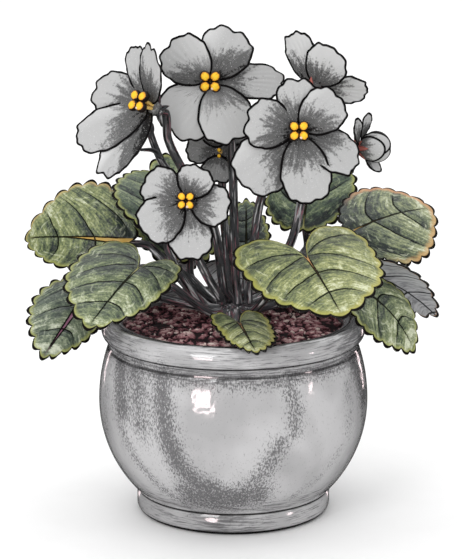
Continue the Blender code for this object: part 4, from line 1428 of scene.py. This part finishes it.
@dataclass(frozen=True)
class Petal:
    """A petal: its direction round the bloom, its lift, size and layer (degrees and metres)."""

    angle: float
    lift: float
    length: float
    width: float
    layer: float = 0.0
    bend: float = 14.0
    twist: float = 0.0
    # How far the dark throat reaches out; it also paints shade on petals in shadow, and light below zero
    shade: float = 0.0
    # Darker along one side: partly the petal's own colouring, partly painted shade where it lies under
    # another or is folded back
    side: float = 0.0
    ruffle: float = 1.0
    point: float = 0.0

    start: float = 0.0016
    layer_step: float = 0.0009
    notch: tuple[float, float] = (0.03, 0.22)
    ruffle_depths: tuple[float, float] = (0.019, 0.008)
    wave_heights: tuple[float, float] = (0.0004, 0.00025)
    ridge_height: float = 0.00012
    cup: float = 0.10

    def place(self, angle: float, reach: float) -> Vector:
        """Place a point of the unit disc on the petal.

        Args:
            angle: Angle round the disc, 0 at the petal's tip.
            reach: Share of the way from the disc's centre to its rim.

        Returns:
            The place in the bloom's stance.
        """
        along = (1 + reach * math.cos(angle)) / 2
        across = 1.10 * reach * math.sin(angle) * (0.90 + 0.17 * reach * math.cos(angle))
        across *= 1 - self.point * along**2
        depth, spread = self.notch
        notch = depth * self.ruffle * reach**4 * bell(math.remainder(angle, math.tau), spread)
        broad, fine = self.ruffle_depths
        ruffle = broad * reach**3 * math.cos(9 * angle + self.angle)
        ruffle += fine * reach**8 * math.sin(17 * angle + 2 * self.angle)
        ruffle = 1 + ruffle * self.ruffle
        x = self.start + self.length * (along - notch) * ruffle - self.start * along
        y = self.width / 2 * across * ruffle
        curl = math.radians(self.bend) / self.length
        turn = curl * x
        broad, fine = self.wave_heights
        wave = broad * reach**2 * math.sin(3 * angle + self.angle)
        wave += fine * reach**6 * math.sin(9 * angle + 3 * self.angle)
        ridge = math.cos(26 * across / (0.35 + along)) * math.sin(math.pi * along) * self.ridge_height
        z = (math.cos(turn) - 1) / curl + wave * along + ridge - self.cup * abs(y) * across * along
        flat = tilt(self.twist * along, "X", 3) @ Vector((math.sin(turn) / curl, y, z))
        lifted = tilt(-self.lift, "Y", 3) @ flat
        lifted.z += self.layer * self.layer_step * min(1.0, 0.3 + 2 * along)
        return tilt(self.angle, "Z", 3) @ lifted

    def add(
        self, bm: bmesh.types.BMesh, stance: Matrix, place: Placing, corners: int = 96
    ) -> None:
        """Add the petal's open sheet to a bloom.

        Args:
            bm: The bloom's shape.
            stance: The bloom's place and turn.
            place: Where a point of the unit disc goes in the bloom's stance.
            corners: Corners round the petal's rim.
        """
        rings = [0.06 + 0.86 * ring / 13 for ring in range(14)]
        rings += [0.945, 0.962, 0.978, 0.990, 1.0]
        sheet = disc(rings, corners)
        flat_layer, reach_layer = (sheet.verts.layers.float_vector.new(name) for name in ("flat", "reach"))
        for vert in sheet.verts:
            angle, reach = math.atan2(vert.co.y, vert.co.x), min(1.0, vert.co.xy.length)
            along = (1 + reach * math.cos(angle)) / 2
            aside = self.width / 2 * reach * math.sin(angle)
            spot, rim = place(angle, reach), place(angle, 1.0)
            spread = math.atan2(aside, self.length * along + 0.003)
            vert[flat_layer] = (spread * 9 + self.angle, along * self.length / MM * 0.11, self.angle)
            # The bias holds the petal's painted light and shade, and the darker side of its own colouring
            bias = self.shade + self.side * reach * math.sin(angle)
            vert[reach_layer] = ((rim - spot).length / MM, along, bias)
            vert.co = stance @ spot
        pour(bm, sheet)


def facing_stance(centre: Point | Vector, facing: Point | Vector) -> Matrix:
    """Place and turn something that faces a way: +Z that way, +Y as near to up as it allows.

    Args:
        centre: Its origin.
        facing: The way it faces.

    Returns:
        The stance.
    """
    ahead = Vector(facing).normalized()
    head = (up(1) - ahead * ahead.z).normalized()
    turn = Matrix((head.cross(ahead), head, ahead)).transposed().to_4x4()
    return Matrix.Translation(centre) @ turn


@dataclass(frozen=True)
class Bloom:
    """An open flower: its throat, the way it faces, its petals and the route of its stalk."""

    name: str
    centre: Point
    facing: Point
    foot: tuple[float, float]
    petals: tuple[Petal, ...]
    stalk: tuple[Point, ...]
    finish: Finish = Finish.PETAL
    back: Finish = Finish.PETAL_BACK
    lobes: int = 4
    lobe_size: float = 0.0024
    anther_height: float = 0.0045
    red_calyx: bool = False

    sac_ring: float = 1.12
    sac_shape: Point = (0.98, 0.86, 0.8)
    throat_radius: float = 0.0034
    throat_front: float = 0.0006
    throat_back: float = -0.0025
    calyx_radius: float = 0.0029
    stalk_radius: float = 0.0019
    petal_thickness: float = 0.00040

    @property
    def stance(self) -> Matrix:
        """Place and turn of the bloom."""
        return facing_stance(self.centre, self.facing)

    @property
    def stalk_route(self) -> list[Vector]:
        """Route the stalk from the crown to the back of the calyx."""
        facing = Vector(self.facing).normalized()
        top = self.throat_back - GAP
        sink = -GAP if self.red_calyx else 0.0006
        end = Vector(self.centre) + facing * (top - CALYX_DEPTH + sink)
        start = Vector((*self.foot, CROWN_TOP + GAP))
        return smooth_route([start, start + up(0.0018), *self.stalk, end - facing * 0.004, end], 8)

    def corolla(self) -> None:
        """Make the petals and the short tube that joins them."""
        bm = bmesh.new()
        stance = self.stance
        for petal in self.petals:
            petal.add(bm, stance, petal.place)
        finishes = (self.finish, self.back, Finish.EDGE)
        piece = show("corolla_" + self.name, bm, ["petals_" + self.name], finishes)
        thicken(piece, self.petal_thickness)
        bm = bmesh.new()
        ends = (
            (self.throat_back, self.calyx_radius - GAP),
            (-0.0010, self.throat_radius * 0.9),
            (self.throat_front - 0.0006, self.throat_radius),
            (self.throat_front, self.throat_radius * 0.8),
        )
        route = [stance @ up(height) for height, _ in ends]
        add_tube(bm, route, lambda share: ends[round(share * 3)][1], 32)
        mark(bm, "reach", (9.0, 0.30, 0.0))
        show("throat_" + self.name, bm, [], [self.finish])

    def pollen_sacs(self) -> None:
        """Make the yellow lobes on their filaments, and the stigma beside four of them."""
        stance = self.stance
        size = self.lobe_size
        bm = bmesh.new()
        layer = bm.verts.layers.float.new("tone")
        for number in range(self.lobes):
            angle = math.tau * (number + 0.5) / self.lobes
            spot = Matrix.Translation(spoke(angle) * size * self.sac_ring + up(self.anther_height))
            turn = Matrix.Rotation(angle, 4, "Z")
            local = bmesh.ops.create_uvsphere(bm, u_segments=28, v_segments=18, radius=1.0)["verts"]
            for vert in local:
                # Painted shade: each sac darkens towards its foot and along its crease
                vert[layer] = 0.5 + 0.5 * vert.co.z
                groove = 0.10 * bell(vert.co.y, 0.16) * max(0.0, vert.co.z)
                vert.co.z -= groove
                vert[layer] -= 0.5 * groove
            shape = Matrix.Diagonal((*(size * side for side in self.sac_shape), 1))
            bmesh.ops.transform(bm, matrix=stance @ spot @ turn @ shape, verts=local)
        show("pollen_sacs_" + self.name, bm, ["anthers_" + self.name], [Finish.ANTHER])
        bm = bmesh.new()
        for number in range(self.lobes):
            out = spoke(math.tau * (number + 0.5) / self.lobes) * size
            points = [out * 0.35, out * 0.45 + up(0.002), out * 0.75 + up(self.anther_height)]
            add_tube(bm, [stance @ point for point in smooth_route(points, 5)], tapering(0.0007, 0.0006), 12)
        mark(bm, "tone", 0.8)
        show("filaments_" + self.name, bm, [], [Finish.FILAMENT])
        if self.lobes < 4:
            return
        bm = bmesh.new()
        tip = Vector((0.35 * size, -1.15 * size, self.anther_height + 0.5 * size))
        points = [up(0), Vector((0.1 * size, -0.5 * size, self.anther_height * 0.7)), tip]
        add_tube(bm, [stance @ point for point in smooth_route(points, 6)], tapering(0.0004, 0.0003), 10)
        spot = stance @ Matrix.Translation(tip)
        bmesh.ops.create_uvsphere(bm, u_segments=14, v_segments=10, radius=0.0006, matrix=spot)
        mark(bm, "tone", 0.85)
        show("stigma_" + self.name, bm, [], [Finish.STIGMA])

    def stalk_and_calyx(self, extra: Callable[[bmesh.types.BMesh], None] | None = None) -> None:
        """Make the stalk with its calyx, and what else grows from it.

        Args:
            extra: Adds more growth to the stalk's shape.
        """
        bm = bmesh.new()
        add_tube(bm, self.stalk_route, tapering(self.stalk_radius, self.stalk_radius * 0.92), 18)
        if extra:
            extra(bm)
        cup = bmesh.new() if self.red_calyx else bm
        lift = 20 if self.red_calyx else 9
        top = self.throat_back - GAP
        add_calyx(cup, self.stance, top, [(90 + 72 * number, lift, 0.007) for number in range(5)])
        show("flower_stalk_" + self.name, bm, ["stalk_" + self.name], [Finish.STEM])
        if self.red_calyx:
            show("sepals_" + self.name, cup, ["calyx_" + self.name], [Finish.RED_STEM])


def add_calyx(
    bm: bmesh.types.BMesh, stance: Matrix, top: float, sepals: Iterable[tuple[float, float, float]]
) -> None:
    """Add the cup behind the petals, with its pointed sepals.

    Args:
        bm: The shape that it is added to.
        stance: The bloom's place and turn.
        top: Where the cup ends, along the bloom's facing.
        sepals: Each sepal's direction and lift in degrees, and its length in metres.
    """
    radii = (0.0019, 0.0021, 0.0025, 0.0028, 0.0029)
    wide, thick = 0.00135, 0.00036
    route = [stance @ up(top - CALYX_DEPTH * (1 - step / 4)) for step in range(5)]
    add_tube(bm, route, lambda share: radii[round(share * 4)], 24)
    layer = bm.verts.layers.float_vector.get("flat")
    for angle, lift, length in sepals:
        base = stance @ Matrix.Translation(up(top - 0.0011)) @ tilt(angle, "Z") @ tilt(-lift, "Y")
        made = bmesh.ops.create_uvsphere(bm, u_segments=16, v_segments=12, radius=1.0)["verts"]
        for vert in made:
            point = (vert.co.x + 1) / 2
            pinch = 1 - 0.75 * point**2
            vert[layer] = (angle + vert.co.y * 1.3, vert.co.z, point * 6)
            vert.co = Vector((length * point, wide * vert.co.y * pinch, thick * vert.co.z))
        bmesh.ops.transform(bm, matrix=base, verts=made)


BLOOMS = (
    Bloom(
        "left", (-0.0330, -0.0140, 0.1736), (-0.580, -0.705, 0.408), (-0.0020, 0.0008),
        (
            Petal(119, 23, 0.0266, 0.0117, 0.6, bend=16, twist=-3, shade=0.08),
            Petal(72, 37, 0.0281, 0.0168, 1.5, bend=1, twist=-11, shade=0.08, side=0.15),
            Petal(172, 20, 0.0277, 0.0193, 1, twist=12, shade=0.12),
            Petal(-138, 25, 0.0345, 0.0184, -0.2, bend=12, twist=-7, shade=0.08, side=0.25),
            Petal(-103, 21, 0.0358, 0.0176, -1.6, bend=6, twist=10, shade=0.16, side=0.7),
        ),
        (
            (-0.0039, -0.0010, 0.0941), (-0.0075, -0.0030, 0.1192), (-0.0125, -0.0045, 0.1309),
            (-0.0206, -0.0065, 0.1460), (-0.0266, -0.0070, 0.1590),
        ),
        back=Finish.PETAL_BACK_SHADED, lobe_size=0.0026, anther_height=0.0085,
    ),
    Bloom(
        "top", (-0.0092, 0.0040, 0.1806), (-0.05, -0.97, 0.22), (0.0019, -0.0022),
        (
            Petal(140, 18, 0.0240, 0.0214, 1.2, bend=20, twist=-14, shade=-0.02, side=0.22),
            Petal(65, 6, 0.0242, 0.0224, 2, bend=17, twist=-4, shade=0.10, side=-0.40),
            Petal(3, 3, 0.0314, 0.0153, 0.5, bend=28, twist=-14, shade=0.0),
            Petal(-66, 10, 0.0270, 0.0232, -0.2, shade=-0.08, side=0.12),
            Petal(-129, 9, 0.0271, 0.0249, -0.9, shade=-0.22, side=0.14),
        ),
        (
            (0.0011, -0.0010, 0.0983), (0.0003, 0.0010, 0.1234), (-0.0007, 0.0050, 0.1545),
            (-0.0030, 0.0115, 0.1680), (-0.0065, 0.0160, 0.1765),
        ),
        lobe_size=0.0026,
    ),
    Bloom(
        "right", (0.0260, -0.0220, 0.1649), (0.05, -0.96, 0.27), (0.0062, -0.0010),
        (
            Petal(166, 13, 0.0224, 0.0208, 1.2, shade=0.16, side=0.12),
            Petal(91, 16, 0.0221, 0.0175, 0.4, shade=0.12),
            Petal(39, 19, 0.0225, 0.0190, 2, shade=0.10, side=-0.25),
            Petal(-26, 9, 0.0284, 0.0180, -0.5, bend=28, twist=-20, shade=0.14, side=0.10),
            Petal(-81, 9, 0.0300, 0.0208, 0.8, shade=0.03),
            Petal(-138, 6, 0.0318, 0.0249, -0.1, shade=0.10, side=0.30),
        ),
        (
            (0.0060, -0.0025, 0.0988), (0.0088, -0.0050, 0.1180), (0.0113, -0.0075, 0.1343),
            (0.0170, -0.0090, 0.1468), (0.0230, -0.0100, 0.1555),
        ),
    ),
    Bloom(
        "far_right", (0.0333, 0.0080, 0.1774), (0.346, 0.867, 0.359), (0.0042, 0.0036),
        (
            Petal(68, 19, 0.0251, 0.0149, 0, bend=6, shade=0.06, side=-0.2),
            Petal(120, 12, 0.0219, 0.0189, -1.2, bend=10, twist=-13, shade=0.05),
            Petal(195, 26, 0.0227, 0.0134, 0.2, bend=7, twist=3, shade=0.06),
            Petal(262, 30, 0.0150, 0.0140, 1),
            Petal(318, 34, 0.0140, 0.0130, 0),
        ),
        (
            (0.0120, 0.0040, 0.0950), (0.0231, 0.0030, 0.1115), (0.0278, 0.0030, 0.1293),
            (0.0304, 0.0020, 0.1462), (0.0312, 0.0000, 0.1610),
        ),
        red_calyx=True,
    ),
    Bloom(
        "low", (-0.0188, -0.0300, 0.1379), (-0.05, -0.95, 0.30), (-0.0052, -0.0034),
        (
            Petal(152, 12, 0.0197, 0.0174, 1.2, shade=0.12),
            Petal(67, 15, 0.0155, 0.0158, 2, shade=0.10),
            Petal(-8, 9, 0.0181, 0.0174, 0.6, shade=0.14),
            Petal(-83, 9, 0.0241, 0.0183, -0.6, shade=0.04),
            Petal(-144, 15, 0.0222, 0.0195, 0.2, shade=0.08, side=0.15),
        ),
        (
            (-0.0059, -0.0060, 0.0930), (-0.0104, -0.0120, 0.1020), (-0.0148, -0.0175, 0.1131),
            (-0.0172, -0.0200, 0.1245),
        ),
        lobe_size=0.0021,
    ),
    Bloom(
        "shaded", (-0.0051, 0.0140, 0.1498), (-0.15, -0.97, 0.05), (-0.0005, 0.0054),
        (
            Petal(175, 10, 0.0150, 0.0130, 0),
            Petal(-99, 10, 0.0135, 0.0140, 1),
            Petal(109, 5, 0.0150, 0.0125, 1),
            Petal(-17, 5, 0.0150, 0.0125, 0),
            Petal(47, 5, 0.0150, 0.0125, -1),
        ),
        (
            (-0.0014, 0.0070, 0.0940), (-0.0031, 0.0140, 0.1119), (-0.0047, 0.0215, 0.1320),
        ),
        Finish.PETAL_SHADED, lobes=2, lobe_size=0.0011,
    ),
)


@dataclass
class Bud:
    """The half-open bud at the right and the branch that carries it."""

    base: Point = (0.0502, -0.0050, 0.1550)
    facing: Point = (0.993, -0.080, 0.090)
    radius: float = 0.0061
    centre_ahead: float = 0.0084
    wrap_sink: float = 0.0004
    wrap_layer: float = 0.0003
    branch_radii: tuple[float, float] = (0.0017, 0.0015)
    branch: tuple[Point, ...] = (
        (0.0298, 0.0020, 0.1400), (0.0345, 0.0020, 0.1480), (0.0395, -0.0015, 0.1555),
    )
    wraps: tuple[Petal, ...] = (
        Petal(180, 0, 0.0131, 0.0102, 3, shade=0.16),
        Petal(160, 0, 0.0160, 0.0104, 2, shade=0.12),
        Petal(-156, 0, 0.0160, 0.0104, 1, shade=0.12),
        Petal(5, 0, 0.0160, 0.0150, 0, shade=0.1),
    )
    outer: tuple[Petal, ...] = (
        Petal(91, 25, 0.0151, 0.0074, twist=-62, point=0.5, ruffle=0.0, shade=0.26),
        Petal(124, 6, 0.0155, 0.0072, twist=-62, point=0.5, ruffle=0.0, shade=0.26),
        Petal(-84, 38, 0.0142, 0.0069, twist=70, point=0.5, ruffle=0.0, shade=0.10),
    )
    sepals: tuple[tuple[float, float, float], ...] = (
        (174, 39, 0.0104), (222, 36, 0.0078), (300, 8, 0.0070), (36, 8, 0.0070), (140, 36, 0.0066),
    )

    def wrap_place(self, petal: Petal) -> Placing:
        """Wrap a petal round the bud's ball.

        Args:
            petal: The petal.

        Returns:
            The function that places a point of the unit disc there.
        """

        def place(angle: float, reach: float) -> Vector:
            """Place a point of the unit disc on the ball.

            Args:
                angle: Angle round the disc, 0 at the petal's tip.
                reach: Share of the way from the disc's centre to its rim.

            Returns:
                The place in the bud's stance.
            """
            from_base = petal.length * (1 + reach * math.cos(angle)) / 2 / self.radius
            aside = petal.width / 2 * reach * math.sin(angle) / self.radius
            forward = math.cos(aside)
            out = Vector((math.sin(from_base) * forward, math.sin(aside), -math.cos(from_base) * forward))
            radius = self.radius + 0.0005 - self.wrap_sink + self.wrap_layer * petal.layer
            return tilt(petal.angle, "Z", 3) @ (out * radius) + up(self.centre_ahead)

        return place

    def add_branch(self, bm: bmesh.types.BMesh) -> None:
        """Add the branch from the far right stalk to the bud's calyx.

        Args:
            bm: The stalk's shape.
        """
        facing = Vector(self.facing).normalized()
        end = Vector(self.base) - facing * (CALYX_DEPTH + GAP)
        route = smooth_route([*self.branch, end - facing * 0.003, end], 8)
        add_tube(bm, route, tapering(*self.branch_radii), 16)

    def build(self) -> None:
        """Make the bud's petals, ball and calyx."""
        stance = facing_stance(self.base, self.facing)
        bm = bmesh.new()
        for petal in self.wraps:
            petal.add(bm, stance, self.wrap_place(petal), 64)
        outer_stance = stance @ Matrix.Translation(up(0.0012))
        for petal in self.outer:
            petal.add(bm, outer_stance, petal.place, 48)
        piece = show("bud_petals", bm, ["bud"], (Finish.PETAL_BUD, Finish.PETAL_BUD, Finish.EDGE))
        thicken(piece, 0.0004)
        bm = bmesh.new()
        spot = stance @ Matrix.Translation(up(self.centre_ahead))
        bmesh.ops.create_uvsphere(bm, u_segments=32, v_segments=24, radius=self.radius - 0.0002, matrix=spot)
        route = [stance @ up(height) for height in (GAP, 0.001, 0.0022)]
        add_tube(bm, route, tapering(0.0016, 0.0026), 24)
        # Painted shade: the heart is inked dark, so that it darkens the gaps between the wraps and the ball's
        # outline
        mark(bm, "reach", (9.0, 0.35, 1.2))
        show("bud_heart", bm, [], [Finish.PETAL_BUD])
        bm = bmesh.new()
        add_calyx(bm, stance, 0.0, self.sepals)
        show("bud_sepals", bm, ["calyx_bud"], [Finish.RED_STEM])


@dataclass
class YoungBud:
    """The closed bud behind the left bloom, with its branch and bract."""

    branch: tuple[Point, ...] = (
        (-0.0165, -0.0055, 0.1385), (-0.0240, -0.0045, 0.1430), (-0.0285, -0.0035, 0.1475),
        (-0.0320, -0.0015, 0.1545), (-0.0346, -0.0003, 0.1620),
    )
    radius: float = 0.0023
    bract: tuple[Point, ...] = (
        (-0.0295, -0.0030, 0.1500), (-0.0325, -0.0035, 0.1535), (-0.0380, -0.0040, 0.1540),
    )

    def add(self, bm: bmesh.types.BMesh) -> None:
        """Add the branch, bract and bud to the left stalk.

        Args:
            bm: The stalk's shape.
        """
        add_tube(bm, smooth_route(self.branch, 8), tapering(0.0017, 0.0015), 16)
        add_tube(bm, smooth_route(self.bract, 8), tapering(0.0014, 0.0006), 12)
        layer = bm.verts.layers.float_vector.get("flat")
        spot = Matrix.Translation(self.branch[-1]) @ Matrix.Diagonal((1, 1, 1.5, 1))
        made = bmesh.ops.create_uvsphere(bm, u_segments=20, v_segments=16, radius=self.radius, matrix=spot)
        for vert in made["verts"]:
            vert[layer] = vert.co / MM


@dataclass
class Down:
    """Short soft hairs on the leaves and their margins, and on the leaf stalks and flower stalks."""

    leaves: Sequence[Leaf]
    stalks: Sequence[tuple[list[Vector], float]]
    length_mm: tuple[float, float] = (0.7, 1.3)
    # Real hairs are about half as thick, and are drawn thicker to show
    radius: float = 0.00004
    per_leaf: int = 220
    per_mm: float = 1.6

    def add_hair(self, bm: bmesh.types.BMesh, root: Vector, way: Vector, length: float) -> None:
        """Add one tapered hair, its root sunk a little.

        Args:
            bm: The shape that it is added to.
            root: Where it leaves the skin.
            way: Which way it points.
            length: In metres.
        """
        turn = way.to_track_quat("Z", "Y").to_matrix().to_4x4()
        spot = Matrix.Translation(root + way * (length * 0.4)) @ turn
        tip = self.radius * 0.2
        bmesh.ops.create_cone(
            bm, cap_ends=True, segments=3, radius1=self.radius, radius2=tip, depth=length, matrix=spot
        )

    def on_leaf(self, bm: bmesh.types.BMesh, leaf: Leaf, draw: random.Random) -> None:
        """Add the hairs of one leaf, most of them along its margin.

        Args:
            bm: The shape that they are added to.
            leaf: The leaf.
            draw: Where the random numbers come from.
        """
        stance = leaf.stance
        for _ in range(self.per_leaf):
            angle = draw.uniform(-math.pi, math.pi)
            reach = 1.0 if draw.random() < 0.6 else math.sqrt(draw.uniform(0.05, 1.0))
            x, y = leaf.flat(angle, reach)
            height = leaf.relief(x, y, reach)
            root = stance @ leaf.curved(x, y, height)
            above = stance @ leaf.curved(x, y, height + MM)
            inside = stance @ leaf.curved(*leaf.flat(angle, reach * 0.97), height)
            way = (above - root).normalized() + (root - inside).normalized() * (0.9 if reach == 1.0 else 0.2)
            way += Vector([draw.uniform(-0.3, 0.3) for _ in range(3)])
            self.add_hair(bm, root, way.normalized(), draw.uniform(*self.length_mm) * MM)

    def on_stalk(
        self, bm: bmesh.types.BMesh, route: list[Vector], radius: float, draw: random.Random
    ) -> None:
        """Add the hairs of one stalk, standing out all round it.

        Args:
            bm: The shape that they are added to.
            route: Points along the stalk's middle.
            radius: The stalk's radius.
            draw: Where the random numbers come from.
        """
        for start, end in zip(route[3:], route[4:]):
            along = (end - start).normalized()
            turn = along.to_track_quat("Z", "Y").to_matrix()
            for _ in range(round((end - start).length / MM * self.per_mm)):
                angle = draw.uniform(0, math.tau)
                out = turn @ spoke(angle)
                root = start.lerp(end, draw.random()) + out * radius * 0.93
                way = (out + along * draw.uniform(0.0, 0.6)).normalized()
                self.add_hair(bm, root, way, draw.uniform(*self.length_mm) * MM * 0.8)

    def build(self) -> None:
        """Make all the hairs in one piece."""
        draw = random.Random(5)
        bm = bmesh.new()
        jobs = [(self.on_leaf, [leaf]) for leaf in self.leaves]
        jobs += [(self.on_stalk, stalk) for stalk in self.stalks]
        for job, grown in jobs:
            part = bmesh.new()
            job(part, *grown, draw)
            pour(bm, part)
        mark(bm, "tone", 0.8)
        show("leaf_hairs", bm, [], [Finish.DOWN])


@dataclass
class Studio:
    """The white sweep, the soft lights and the camera at the photograph's angle."""

    aim: Point = (-0.00033, 0.0, 0.0983)
    elevation: float = 14.0
    distance: float = 1.2
    # The photograph's 559 pixels at 0.4151 mm each
    view_height_mm: float = 559 * 0.4151
    sensor: float = 36.0
    floor_size: float = 12.0
    surround_strength: float = 0.82
    pink: Point = (1.0, 0.82, 0.83)
    softboxes: tuple[tuple[str, Point, tuple[float, float], float], ...] = (
        ("key", (-0.55, -1.05, 0.75), (0.5, 0.5), 3.6),
        ("overhead", (0.10, 0.55, 1.70), (2.6, 2.6), 17.0),
    )
    # These show only as glints in the glaze
    windows: tuple[tuple[str, Point, tuple[float, float], float], ...] = (
        ("window", (-0.50, -1.09, 0.20), (0.34, 0.30), 3.0),
        ("far_window", (1.12, -0.43, 0.20), (0.10, 0.17), 0.45),
        ("right_strip", (0.66, 1.00, 0.05), (0.06, 0.50), 0.35),
        ("left_strip", (-0.66, 1.00, 0.05), (0.06, 0.50), 0.25),
    )

    def build(self) -> None:
        """Set the floor, world, lights and camera."""
        bm = bmesh.new()
        bmesh.ops.create_grid(bm, x_segments=1, y_segments=1, size=self.floor_size)
        mesh = bpy.data.meshes.new("floor")
        bm.to_mesh(mesh)
        bm.free()
        mesh.materials.append(Finish.PAPER.material())
        floor = enter("floor", mesh)
        floor.visible_glossy = False
        floor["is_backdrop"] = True
        bpy.context.scene.world = self.surround()
        for softbox in self.softboxes:
            self.light(*softbox)
        for window in self.windows:
            glint = self.light(*window)
            glint.visible_diffuse = False
            glint.data.color = self.pink
        self.camera()
        bpy.context.scene.view_settings.view_transform = "Standard"

    def surround(self) -> bpy.types.World:
        """Make the even white surround. Only reflections see its dark low part, which lines the glaze.

        Returns:
            The world.
        """
        paint = Paint(bpy.data.worlds.new("studio"), "Background")
        way = paint.add("SeparateXYZ", [paint.add("TexCoord")["Generated"]])["Z"]
        low = paint.add("MapRange", (way, 0.15, 0.70, 0.02, 1.0), interpolation_type=SMOOTH)[0]
        mirrored = paint.add("LightPath")["Is Glossy Ray"]
        bright = paint.add("Mix", {0: mirrored, 2: 1.0, 3: low}, data_type="FLOAT")[0]
        strength = paint.add("Math", (bright, self.surround_strength), operation="MULTIPLY")[0]
        return paint.done({"Color": "#ffffff", "Strength": strength})

    def light(self, name: str, place: Point, size: tuple[float, float], watts: float) -> bpy.types.Object:
        """Set a softbox that faces the plant.

        Args:
            name: The light's name.
            place: Where it stands.
            size: Its width and height in metres.
            watts: Its power.

        Returns:
            The lamp.
        """
        lamp = bpy.data.lights.new(name, "AREA")
        lamp.shape = "RECTANGLE"
        lamp.size, lamp.size_y = size
        lamp.energy = watts
        made = enter(name, lamp)
        made.location = place
        made.rotation_euler = (Vector(self.aim) - Vector(place)).to_track_quat("-Z", "Y").to_euler()
        return made

    def camera(self) -> None:
        """Set the camera where the photograph was seen from."""
        lift = math.radians(self.elevation)
        lens = bpy.data.cameras.new("camera")
        lens.sensor_width = self.sensor
        lens.lens = self.distance / (self.view_height_mm * MM) * self.sensor
        made = enter("camera", lens)
        made.location = Vector(self.aim) + Vector((0, -math.cos(lift), math.sin(lift))) * self.distance
        made.rotation_euler = (math.pi / 2 - lift, 0, 0)
        bpy.context.scene.camera = made


def corners(box: tuple[Vector, Vector]) -> list[list[float]]:
    """Turn a box's two corners into plain lists."""
    return [list(corner) for corner in box]


def main() -> None:
    """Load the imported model, dress it and set the studio round it."""
    logging.basicConfig(level=logging.INFO, format="%(name)s %(message)s")
    loaded = {*frame["bodies"].values(), *frame["nodes"].values()}
    for obj in set(bpy.data.objects) - loaded:
        bpy.data.objects.remove(obj)
    cad_box = corners(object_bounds())
    Studio().build()
    Pot().build()
    SoilBed().build()
    crown = Crown(LEAVES)
    crown.build()
    for leaf in LEAVES:
        leaf.build()
    bud = Bud()
    growth = {"far_right": bud.add_branch, "left": YoungBud().add}
    for bloom in BLOOMS:
        bloom.corolla()
        bloom.pollen_sacs()
        bloom.stalk_and_calyx(growth.get(bloom.name))
    bud.build()
    stalks = [(crown.leaf_stalk(leaf), crown.stalk_radii[1]) for leaf in LEAVES]
    stalks += [(bloom.stalk_route, bloom.stalk_radius * 0.95) for bloom in BLOOMS]
    Down(LEAVES, stalks).build()
    {"cad": cad_box, "visual": corners(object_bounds())}


if __name__ == "__main__":
    main()
